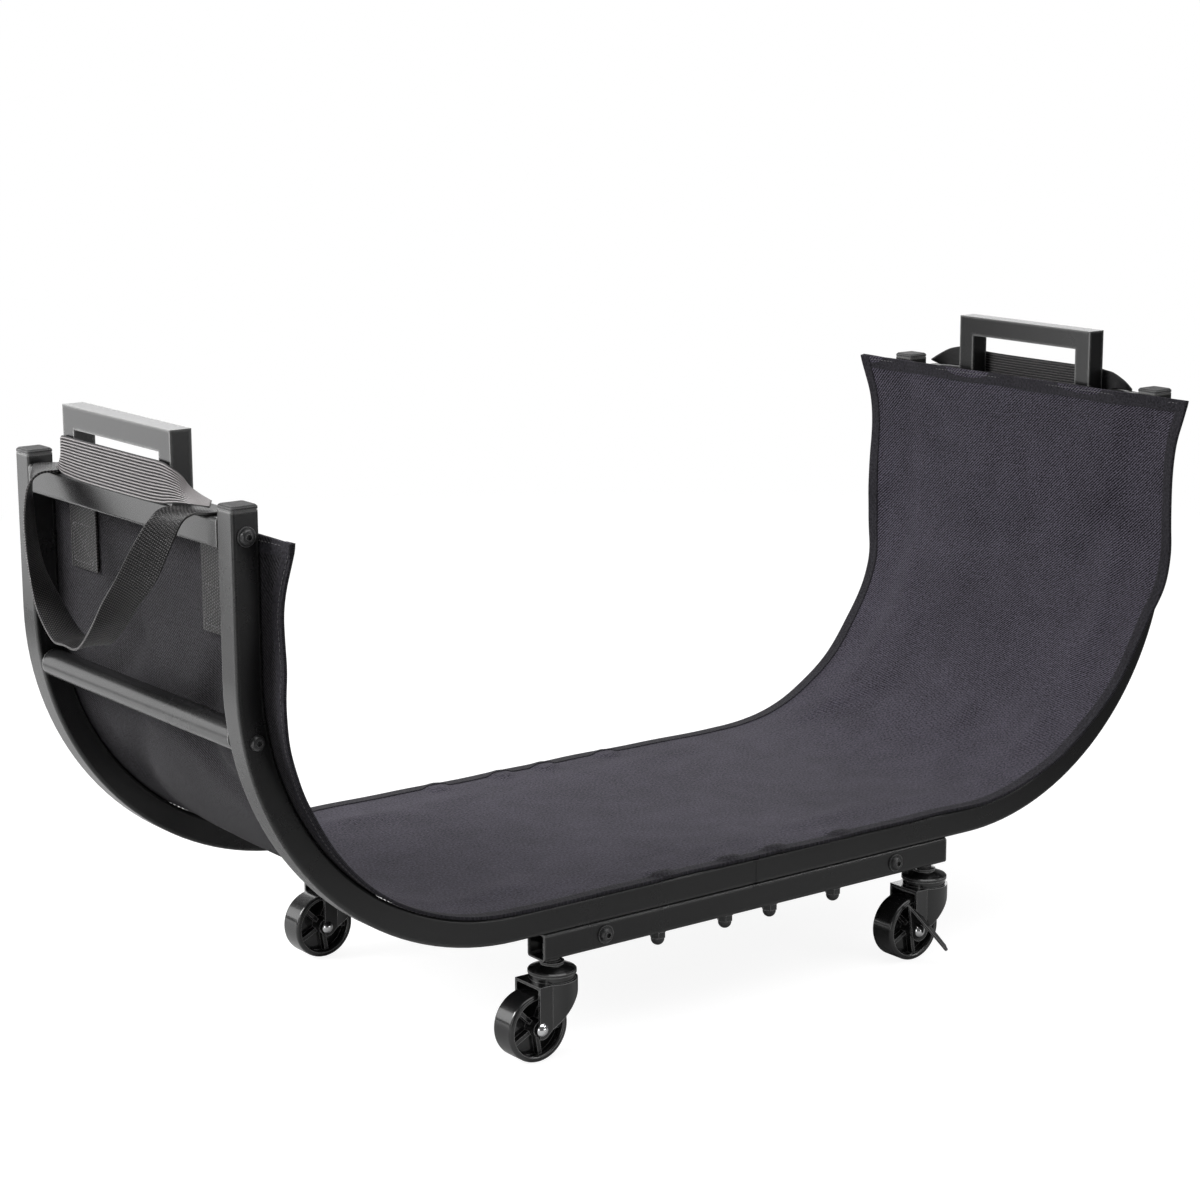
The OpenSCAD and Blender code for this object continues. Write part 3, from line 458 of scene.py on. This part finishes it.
# place and outward direction of the cloth's line, at a distance from its left top edge
def linerPath(s):
    bendX, bendZ, radius = liner["bendX"], liner["bendZ"], liner["radius"]

    def onBend(centre, a):
        return centre + radius * math.cos(a), bendZ + radius * math.sin(a), math.cos(a), math.sin(a)
    if s < leftWall:
        return -bendX - radius, liner["topLeft"] - s, -1, 0
    s -= leftWall
    if s < quarter:
        return onBend(-bendX, math.pi + s / radius)
    s -= quarter
    if s < flatRun:
        return -bendX + s, bendZ - radius, 0, -1
    s -= flatRun
    if s < quarter:
        return onBend(bendX, 1.5 * math.pi + s / radius)
    s -= quarter
    return bendX + radius, bendZ + s, 1, 0


def overhang(s):
    edge, way = (edgeLeft, s) if s < linerLength / 2 else (edgeRight, linerLength - s)
    reach = liner["blurSteps"]
    total = 0
    for k in range(-reach, reach + 1):
        at = max(0, way + k * liner["blurStep"])
        i = max(j for j in range(len(edge) - 1) if edge[j][0] <= at)
        (way0, out0), (way1, out1) = edge[i], edge[i + 1]
        total += out0 + (out1 - out0) * (at - way0) / (way1 - way0)
    return total / (2 * reach + 1)


def linerHalf(s):
    s = min(linerLength, max(0, s))
    key = round(s, 5)
    if key not in halfWidths:
        wave = sum(size * math.sin(s * pace + shift) for size, pace, shift in liner["edgeWaves"])
        wave *= ease(min(s, linerLength - s) / liner["waveRun"])
        halfWidths[key] = liner["halfFrame"] + overhang(s) - liner["edgeTrim"] + wave
    return halfWidths[key]


def wrinkleAt(s, y):
    past = 0.4  # a wrinkle fades out over this share of its length at each end
    total = 0
    for s0, y0, s1, y1, width, depth in wrinkles:
        ds, dy = s1 - s0, y1 - y0
        t = ((s - s0) * ds + (y - y0) * dy) / (ds * ds + dy * dy)
        if -past < t < 1 + past:
            c = min(1, max(0, t))
            away = math.hypot(s - s0 - c * ds, y - y0 - c * dy)
            fade = math.sin(math.pi * min(1, max(0, (t + past) / (1 + 2 * past))))
            total += depth * math.exp(-(away / width) ** 2) * fade
    return total


# a point of the cloth: across runs from -1 at the front edge to 1 at the back edge
def linerSpot(s, across, lift=0.0):
    x, z, nx, nz = linerPath(min(linerLength, max(0, s)))
    y = across * linerHalf(s)
    wide = abs(y)
    flat = nz * nz
    upright = 1 - flat
    innerY = liner["halfFrame"] - liner["tube"] - liner["clear"]
    between = max(0, 1 - (wide / innerY) ** 2)
    out = liner["sag"] * flat * between

    onTube = ease((wide - innerY + liner["tubeLead"]) / liner["tubeRun"])
    bolt = min(math.hypot(x - bx, wide - liner["boltY"]) for bx in liner["bolts"])
    dip = liner["boltDip"] * ease((liner["boltReach"] - bolt) / liner["boltRun"])
    out += onTube * (liner["gap"] - dip)

    low = ease((liner["crossbarTop"] - z) / liner["billowRun"])
    turn = 2 * math.pi * y / liner["billowWidth"] + z * liner["billowTurn"]
    out -= liner["billow"] * upright * (1 - onTube) * low * (0.5 - 0.5 * math.cos(turn))

    swing = wrinkleAt(s, y) * ease(between * liner["wrinkleReach"])
    out += min(swing, liner["mostOnWall"] if flat < liner["floorFrom"] else liner["mostOnFloor"])

    edge = max(0, wide - liner["halfFrame"]) / liner["curlRun"]
    curl = liner["curlLeast"] + math.sin(s * liner["curlPace"] + (liner["curlShift"] if y > 0 else 0))
    out -= upright * edge * liner["curl"] * curl
    if x > 0:
        out -= liner["lean"] * max(0, across) * ease(1 + (z - liner["topRight"]) / liner["leanRun"])
    out -= liner["thickness"] * liner["lieShare"] + lift
    return Vector((x + nx * out, y, z + nz * out))


def makeLiner():
    mesh = clothGrid("liner", liner["steps"], liner["rows"], (0, linerLength), (-1, 1),
                     liner["clothScale"], linerSpot)
    piece = addPiece("linerCloth", mesh, [canvasOut, canvasIn])
    thicken(piece, liner["thickness"], inner=1)
    return piece


def makeHem(name, side):
    def spot(s, across):
        half = linerHalf(s)
        place = half - liner["hem"] * (1 - across) + liner["hemPast"]
        return linerSpot(s, side * place / half, liner["hemLift"])
    mesh = clothGrid(name, liner["steps"], liner["hemRows"], (0, linerLength), (0, 1),
                     liner["hem"], spot)
    piece = addPiece(name, mesh, [canvasHem])
    thicken(piece, liner["hemThickness"])
    return piece


def makeBand(name, atLeft):
    def spot(d, across):
        point = linerSpot(d if atLeft else linerLength - d, across)
        fold = liner["foldDepth"] * math.sin(across * liner["foldPace"] + liner["foldShift"])
        fold *= ease(1 - d / liner["band"])
        rise = liner["riseHeight"] * math.sin(across * liner["risePace"])
        return point + Vector((fold if atLeft else -fold, 0, rise))
    mesh = clothGrid(name, liner["bandSteps"], liner["bandRows"], (-liner["bandPast"], liner["band"]),
                     (-1, 1), liner["bandScale"], spot)
    piece = addPiece(name, mesh, [canvasHem])
    thicken(piece, liner["bandThickness"])
    return piece


# a stitch covers this share of its step, and is this thick each way, in metres
stitchShape = {"share": 0.40, "halfWidth": 0.00042, "halfHeight": 0.00036}


def sewRows(name, rows):
    shape = bmesh.new()
    for points, lift in rows:
        for start, end, up in points:
            along = (end - start).normalized()
            side = along.cross(up).normalized()
            turn = Matrix((along, side, up)).transposed().to_4x4()
            size = Matrix.Diagonal(((end - start).length * stitchShape["share"],
                                    stitchShape["halfWidth"], stitchShape["halfHeight"], 1))
            spot = Matrix.Translation((start + end) / 2 + up * lift)
            bmesh.ops.create_icosphere(shape, subdivisions=1, radius=1, matrix=spot @ turn @ size)
    mesh = bpy.data.meshes.new(name)
    shape.to_mesh(mesh)
    shape.free()
    return addPiece(name, mesh, [thread])


def linerStitches():
    def hemSpot(s, side):
        half = linerHalf(s)
        return linerSpot(s, side * (half - liner["hemInset"]) / half)

    def outward(s):
        nx, nz = linerPath(s)[2:]
        return Vector((nx, 0, nz))
    rows = []
    step = liner["stitch"]
    for side in (-1, 1):
        for face in (-1, 1):
            points = [(hemSpot(i * step, side), hemSpot((i + 1) * step, side),
                       outward(i * step) * face) for i in range(int(linerLength / step))]
            rows.append((points, liner["hemThickness"] / 2))
    for s in (liner["bandInset"], linerLength - liner["bandInset"]):
        total = int(2 * linerHalf(s) / step)
        for face in (-1, 1):
            points = [(linerSpot(s, -1 + 2 * i / total), linerSpot(s, -1 + 2 * (i + 1) / total),
                       outward(s) * face) for i in range(total)]
            rows.append((points, liner["bandThickness"] / 2))
    return sewRows("linerStitching", rows)


cloth = makeLiner()
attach(cloth, "frame")
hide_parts("liner")
linerTrim = [makeHem("linerHemFront", -1), makeHem("linerHemBack", 1),
             makeBand("linerBandLeft", True), makeBand("linerBandRight", False), linerStitches()]
for piece in linerTrim:
    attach(piece, "frame")
print("liner made, length", round(linerLength, 3))


# carrying straps, in metres; boxInset is a share of the width
strap = {
    "width": 0.048, "thickness": 0.0021, "reach": 0.030, "drop": 0.126, "y": 0.117, "tube": 0.025,
    "gap": 0.0004, "sewnGap": 0.0035, "frontTab": 0.107, "backTab": 0.090, "halfLength": 0.5425,
    "top": 0.519, "boxInset": 0.12, "boxHeight": 0.034, "boxStart": 0.006, "stitch": 0.0038,
    "cup": 0.0016, "cupWidth": 0.046, "cupRun": 0.016, "edge": 0.0007, "edgeTurn": 50,
    "smooth": 10, "points": 400, "steps": 420, "rows": 14}


# a smooth curve from b to c, with a before it and d after it
def bendBetween(a, b, c, d, t):
    square = (2 * a - 5 * b + 4 * c - d) * t * t
    cube = (3 * b - a - 3 * c + d) * t * t * t
    return 0.5 * (2 * b + (c - a) * t + square + cube)


def smoothRun(points, steps):
    run = []
    last = len(points) - 1
    for i in range(last):
        before, after = points[max(0, i - 1)], points[min(last, i + 2)]
        for k in range(steps):
            run.append(bendBetween(before, points[i], points[i + 1], after, k / steps))
    run.append(points[last])
    return run


# pairs of points on a band's two edges, in millimetres, made a run of evenly spaced pairs in metres
def evenRun(pairs, steps, count):
    outer = smoothRun([Vector(p[0]) / 1000 for p in pairs], steps)
    inner = smoothRun([Vector(p[1]) / 1000 for p in pairs], steps)
    lengths = [0]
    for i in range(1, len(outer)):
        middle = (outer[i] + inner[i]) / 2 - (outer[i - 1] + inner[i - 1]) / 2
        lengths.append(lengths[-1] + middle.length)
    even = []
    j = 0
    for k in range(count + 1):
        want = lengths[-1] * k / count
        while j < len(lengths) - 2 and lengths[j + 1] < want:
            j += 1
        t = (want - lengths[j]) / (lengths[j + 1] - lengths[j])
        even.append((outer[j].lerp(outer[j + 1], t), inner[j].lerp(inner[j + 1], t)))
    return even, lengths[-1]


# from a point at a crossbar's middle, outwards, along it and up, to its place at either end
def atEnd(end, p):
    return Vector((end * (strap["halfLength"] + p.x), p.y, strap["top"] + p.z))


def mirrored(pairs):
    return [((o[0], -o[1], o[2]), (i[0], -i[1], i[2])) for o, i in reversed(pairs)]


# a point of a band, from its run of edge pairs; cup gives how far its middle bows
def ribbonSpot(even, length, end, cup=lambda wide: 0):
    count = len(even) - 1

    def spot(along, across):
        k = min(count - 1e-6, max(0, along / length * count))
        i = int(k)
        t = k - i
        outer = even[i][0].lerp(even[i + 1][0], t)
        inner = even[i][1].lerp(even[i + 1][1], t)
        ahead = (even[min(count, i + 1)][0] + even[min(count, i + 1)][1]) / 2
        behind = (even[max(0, i - 1)][0] + even[max(0, i - 1)][1]) / 2
        face = (ahead - behind).cross(outer - inner).normalized()
        bow = cup((outer - inner).length)
        place = inner.lerp(outer, across) + face * bow * (1 - (2 * across - 1) ** 2)
        return atEnd(end, place)
    return spot


# edge points of the strap, from its front sewn end round the loop to the back one, in millimetres
def strapPairs():
    reach, drop, y = strap["reach"] * 1000, strap["drop"] * 1000, strap["y"] * 1000
    inside = -(strap["tube"] + strap["gap"] + strap["thickness"] / 2) * 1000
    sewn = -(strap["tube"] + strap["sewnGap"] - strap["gap"] - strap["thickness"] / 2) * 1000
    up = (strap["gap"] + strap["thickness"] / 2) * 1000
    near, far = y - strap["width"] * 500, y + strap["width"] * 500
    frontTab, backTab = strap["frontTab"] * 1000, strap["backTab"] * 1000
    half = [
        ((reach + 25, 0.2 * y, 1 - drop), (reach - 5, 0.22 * y, 2 - drop)),
        ((reach + 25, 0.41 * y, -0.83 * drop), (reach - 4, 0.5 * y, -0.81 * drop)),
        ((reach + 22, 0.56 * y, -0.63 * drop), (reach - 3, 0.73 * y, -0.63 * drop)),
        ((reach + 17, 0.69 * y, -0.46 * drop), (reach - 7, 0.92 * y, -0.45 * drop)),
        ((reach + 10, 0.82 * y, -0.25 * drop), (reach - 12, 1.06 * y, -0.22 * drop)),
        ((reach, 0.91 * y, -0.07 * drop), (reach - 17, 1.15 * y, -0.055 * drop)),
        ((0.6 * reach, near + 15, 1.2), (0.23 * reach, far + 2, 0.6)),
        ((2, near + 16, up + 0.2), (0, far + 12, up + 0.2)),
        ((-12.5, near + 11, up), (-12.5, far + 11, up)),
        ((inside + 5, near + 3, up + 0.3), (inside + 5, far + 3, up + 0.3)),
        ((inside + 1.2, near + 1, 0.4), (inside + 1.2, far + 1, 0.4)),
        ((inside, near, -8), (inside, far, -8)),
        ((inside, near, -25), (inside, far, -25)),
        ((sewn, near, -50), (sewn, far, -50))]
    middle = [((reach + 25.5, 0, -drop), (reach - 5, 0, -drop))]
    front = [((sewn, -near, -frontTab), (sewn, -far, -frontTab))]
    back = [((sewn, near, -backTab), (sewn, far, -backTab))]
    return front + mirrored(half) + middle + half + back


def makeStrap(name, end):
    even, length = evenRun(strapPairs(), strap["smooth"], strap["points"])

    # it bows where its edges are drawn together
    def cup(wide):
        return -strap["cup"] * ease((strap["cupWidth"] - wide) / strap["cupRun"])
    mesh = clothGrid(name, strap["steps"], strap["rows"], (0, length), (0, 1), strap["width"],
                     ribbonSpot(even, length, end, cup))
    piece = addPiece(name, mesh, [webbingBlack])
    thicken(piece, strap["thickness"])
    rounded = piece.modifiers.new("softEdge", "BEVEL")
    rounded.width = strap["edge"]
    rounded.segments = 2
    rounded.limit_method = "ANGLE"
    rounded.angle_limit = math.radians(strap["edgeTurn"])
    return piece, length


# a box with a cross in it on each sewn end, seen on both faces
def strapStitches(name, end):
    even, length = evenRun(strapPairs(), strap["smooth"], strap["points"])
    spot = ribbonSpot(even, length, end)
    inset, start = strap["boxInset"], strap["boxStart"]
    lines = []
    for edge, inward in ((0, 1), (length, -1)):
        low, high = edge + inward * start, edge + inward * (start + strap["boxHeight"])
        box = [(low, inset), (low, 1 - inset), (high, 1 - inset), (high, inset)]
        for i, j in ((0, 1), (1, 2), (2, 3), (3, 0), (0, 2), (1, 3)):
            lines.append((box[i], box[j]))
    rows = []
    for (s0, a0), (s1, a1) in lines:
        ds, da = s1 - s0, a1 - a0
        count = max(3, int(math.hypot(ds, da * strap["width"]) / strap["stitch"]))
        ends = [spot(s0 + ds * i / count, a0 + da * i / count) for i in range(count + 1)]
        for face in (-1, 1):
            points = [(a, b, Vector((face, 0, 0))) for a, b in zip(ends, ends[1:])]
            rows.append((points, strap["thickness"] / 2))
    return sewRows(name, rows)


for end, side in ((-1, "left"), (1, "right")):
    piece, strapLength = makeStrap("carryStrap" + side.capitalize(), end)
    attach(piece, "frame")
    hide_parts("carry_strap_" + side)
    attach(strapStitches("strapStitching" + side.capitalize(), end), "frame")
print("straps made, length", round(strapLength, 3))


# grip bands, in millimetres; they lie on the crossbar's face, and over the straps at their ends
grip = {
    "turn": 95, "hang": 13, "width": 36, "thickness": 2.6, "gap": 0.4, "overStrap": 2.6,
    "ribs": 13, "ribDepth": 0.7, "base": 1.7, "slackWidth": 30, "leastRib": 0.4,
    "smooth": 10, "points": 300, "steps": 260, "rowsPerRib": 6}


# edge points of the band, from its front end to its back end, in millimetres
def gripPairs(end):
    out = grip["gap"] + grip["thickness"] / 2
    lie = out + grip["overStrap"]
    w, turn, hang = grip["width"], grip["turn"], grip["hang"]
    if end < 0:
        near = [
            ((out, 0.5 * turn, -1), (out, 0.5 * turn, w - 1)),
            ((out, 0.86 * turn, 0.5), (out, 0.86 * turn, w - 1)),
            ((out, turn + 1, lie - 1.5), (out - 0.3, turn + 0.5, w - 3)),
            ((1, turn + 13, lie), (-3, turn + 10, w - 9)),
            ((-1, turn + 25, lie + 0.4), (-7, turn + 16, 0.5 * w)),
            ((-4, turn + 37, lie + 0.4), (-11, turn + 26, 0.33 * w)),
            ((-8, turn + 47, lie + 0.2), (-15, turn + 38, 0.2 * w))]
        far = [
            ((out, 0.5 * turn, -1), (out, 0.5 * turn, w - 1)),
            ((out, 0.86 * turn, 0.5), (out, 0.86 * turn, w - 1)),
            ((out, turn - 1, lie - 2.5), (out, turn - 0.5, w - 2)),
            ((1.5, turn + 8, lie), (-1, turn + 2.2, w - 9)),
            ((0, turn + 15, lie + 0.4), (-4, turn + 5, 0.5 * w)),
            ((-2, turn + 19, lie + 0.4), (-8, turn + 9, 0.33 * w)),
            ((-6, turn + 21, lie + 0.2), (-12, turn + 14, 0.22 * w))]
    else:
        near = [
            ((out, 0.5 * turn, -hang), (out, 0.5 * turn, w - 1 - hang)),
            ((out, 0.88 * turn, 1 - hang), (out, 0.88 * turn, w - 1 - hang)),
            ((out, turn + 4, 9 - hang), (out, turn + 2, w - 2.5 - hang)),
            ((out, turn + 13, lie - 2), (0, turn + 14, 0.54 * w)),
            ((out, turn + 25, lie - 0.8), (-3, turn + 26, 0.46 * w)),
            ((-2, turn + 37, lie), (-7, turn + 39, 0.35 * w)),
            ((-6, turn + 46, lie), (-11, turn + 51, 0.2 * w))]
        far = [
            ((out, 0.5 * turn, -hang), (out, 0.5 * turn, w - 1 - hang)),
            ((out, 0.9 * turn, 1 - hang), (out, 0.9 * turn, w - hang)),
            ((out, turn + 4, 9 - hang), (out, turn + 5, w + 2 - hang)),
            ((out, turn + 12, lie - 0.6), (-1, turn + 17, 0.68 * w)),
            ((0, turn + 25, lie - 0.6), (-6, turn + 29, 0.6 * w)),
            ((-2, turn + 36, lie - 0.6), (-11, turn + 40, 0.42 * w)),
            ((-6, turn + 44, lie - 0.6), (-16, turn + 48, 0.24 * w))]
    return mirrored(near) + far


def makeGrip(name, end):
    even, length = evenRun(gripPairs(end), grip["smooth"], grip["points"])
    flatSpot = ribbonSpot(even, length, end)
    count = len(even) - 1

    def spot(along, across):
        base = flatSpot(along, across)
        i = min(count - 1, int(along / length * count))
        outer, inner = atEnd(end, even[i][0]), atEnd(end, even[i][1])
        ahead, behind = atEnd(end, even[min(count, i + 1)][1]), atEnd(end, even[max(0, i - 1)][1])
        face = (ahead - behind).cross(outer - inner).normalized() * (1 if end < 0 else -1)
        rib = abs(math.sin(math.pi * grip["ribs"] * across)) * grip["ribDepth"] / 1000
        slack = ease((outer - inner).length * 1000 / grip["slackWidth"])
        return base + face * rib * (grip["leastRib"] + (1 - grip["leastRib"]) * slack)
    mesh = clothGrid(name, grip["steps"], grip["ribs"] * grip["rowsPerRib"], (0, length), (0, 1),
                     grip["width"] / 1000, spot)
    piece = addPiece(name, mesh, [bandBlack])
    thicken(piece, grip["base"] / 1000)
    return piece


for end, side in ((-1, "left"), (1, "right")):
    piece = makeGrip("gripBand" + side.capitalize(), end)
    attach(piece, "frame")
    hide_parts("grip_band_" + side)
print("grip bands made")

cuts = 200  # the cut is wider at its ends than along the floor
cutWidths = [2 * linerHalf((i + 0.5) * linerLength / cuts) for i in range(cuts)]
linerArea = sum(cutWidths) * linerLength / cuts
2 * linerHalf(0)


# floor and what it gives back, with distances in metres from the middle of the object
ground = {
    "half": 200, "rough": 0.9, "shade": (0.62, 0.62, 0.62), "glow": 1.5, "white": 1.0, "glowShare": 0.6,
    "underShade": (0.5, 0.5, 0.5), "farShade": (0.2, 0.2, 0.2),
    "darkSide": (0.1, 0.1, 0.1), "paleSide": (0.68, 0.68, 0.68),
    "under": (0.6, 1.05), "far": (1.8, 2.8), "toWhite": (0.9, 2.6), "sideFrom": (0.1, 0.8),
    "sideBack": 0.55, "sideRight": 0.75, "edgeScale": 2.0, "edgeSpread": 0.1}


def makeStage():
    look = Look("paleFloor", Roughness=ground["rough"])
    where = look.place()
    reach = look.make("ShaderNodeVectorMath", {"operation": "LENGTH"}, {0: where}, "Value")
    right = look.make("ShaderNodeSeparateXYZ", {}, {0: where}, "X")
    back = look.make("ShaderNodeSeparateXYZ", {}, {0: where}, "Y")
    # what the object mirrors of the floor is paler behind and to the left
    toLight = (back * ground["sideBack"] - right * ground["sideRight"]).between(*ground["sideFrom"])
    beyond = look.mix(toLight, ground["darkSide"], ground["paleSide"])
    beyond = look.mix(reach.between(*ground["far"]), beyond, ground["farShade"])
    spread = look.noise(where, scale=ground["edgeScale"], detail=2) * ground["edgeSpread"]
    bounce = look.mix((reach + spread).between(*ground["under"]), ground["underShade"], beyond)
    seen = look.make("ShaderNodeLightPath", {}, {}, "Is Camera Ray")
    look.feed(Base_Color=look.mix(seen, bounce, ground["shade"]))
    # the camera sees it go over to white with distance, and the object's shadow stays on it
    glow = look.make("ShaderNodeEmission", {}, {"Color": (1, 1, 1, 1), "Strength": ground["glow"]})
    white = look.make("ShaderNodeEmission", {}, {"Color": (1, 1, 1, 1), "Strength": ground["white"]})
    lit = Socket(look, look.shader.outputs[0])
    near = look.make("ShaderNodeMixShader", {}, {0: ground["glowShare"], 1: lit, 2: glow})
    far = reach.between(*ground["toWhite"])
    visible = look.make("ShaderNodeMixShader", {}, {0: far, 1: near, 2: white})
    mixed = look.make("ShaderNodeMixShader", {}, {0: seen, 1: lit, 2: visible})
    look.tree.links.new(mixed.link, look.tree.nodes["Material Output"].inputs["Surface"])
    shape = bmesh.new()
    bmesh.ops.create_grid(shape, x_segments=2, y_segments=2, size=ground["half"])
    mesh = bpy.data.meshes.new("floor")
    shape.to_mesh(mesh)
    shape.free()
    mesh.materials.append(look.material)
    floor = bpy.data.objects.new("floor", mesh)
    bpy.context.scene.collection.objects.link(floor)


# soft panels: place, the point that each faces, width and height in metres, power in watts
lamps = {
    "sidePanel": ((-1.35, 0.9, 0.5), (-0.5, -0.05, 0.34), (1.3, 0.7), 6.6),
    "backPanel": ((1.6, 3.7, 1.75), (0, 0, 0.3), (5.0, 1.5), 54),
    "topPanel": ((0.5, -0.1, 3.0), (0.2, 0, 0.2), (4.4, 3.0), 84),
    "leftKey": ((-1.75, 0.75, 1.35), (-0.5, 0, 0.4), (0.8, 0.8), 44),
    "edgeStrip": ((-2.2, -1.15, 0.5), (-0.54, -0.19, 0.35), (0.4, 1.0), 4),
    "rightStrip": ((2.1, -1.7, 1.9), (0.1, -0.2, 0.3), (2.0, 0.14), 12),
    "frontPanel": ((1.3, -3.3, 0.5), (-0.1, 0, 0.5), (2.2, 0.6), 12)}


def addLamp(name, place, target, size, power):
    data = bpy.data.lights.new(name, "AREA")
    data.shape = "RECTANGLE"
    data.size, data.size_y = size
    data.energy = power
    lamp = bpy.data.objects.new(name, data)
    lamp.location = place
    lamp.rotation_euler = (Vector(target) - Vector(place)).to_track_quat("-Z", "Y").to_euler()
    lamp.visible_camera = False
    bpy.context.scene.collection.objects.link(lamp)


# plain white to the camera, and a little light on the object
def setWorld(onObject=0.11, onCamera=1.0):
    world = bpy.data.worlds.new("studio")
    bpy.context.scene.world = world
    world.use_nodes = True
    sky = NodeTree(world.node_tree)
    direct = sky.make("ShaderNodeLightPath", {}, {}, "Is Camera Ray")
    through = sky.make("ShaderNodeLightPath", {}, {}, "Is Transmission Ray")
    strength = direct.maths("MAXIMUM", through).between(0.0, 1.0, onObject, onCamera)
    back = sky.tree.nodes["Background"]
    back.inputs["Color"].default_value = (1, 1, 1, 1)
    sky.tree.links.new(strength.link, back.inputs["Strength"])


makeStage()
for lampName, values in lamps.items():
    addLamp(lampName, *values)
setWorld()
bpy.context.scene.view_settings.view_transform = "Standard"
print("stage and light set")
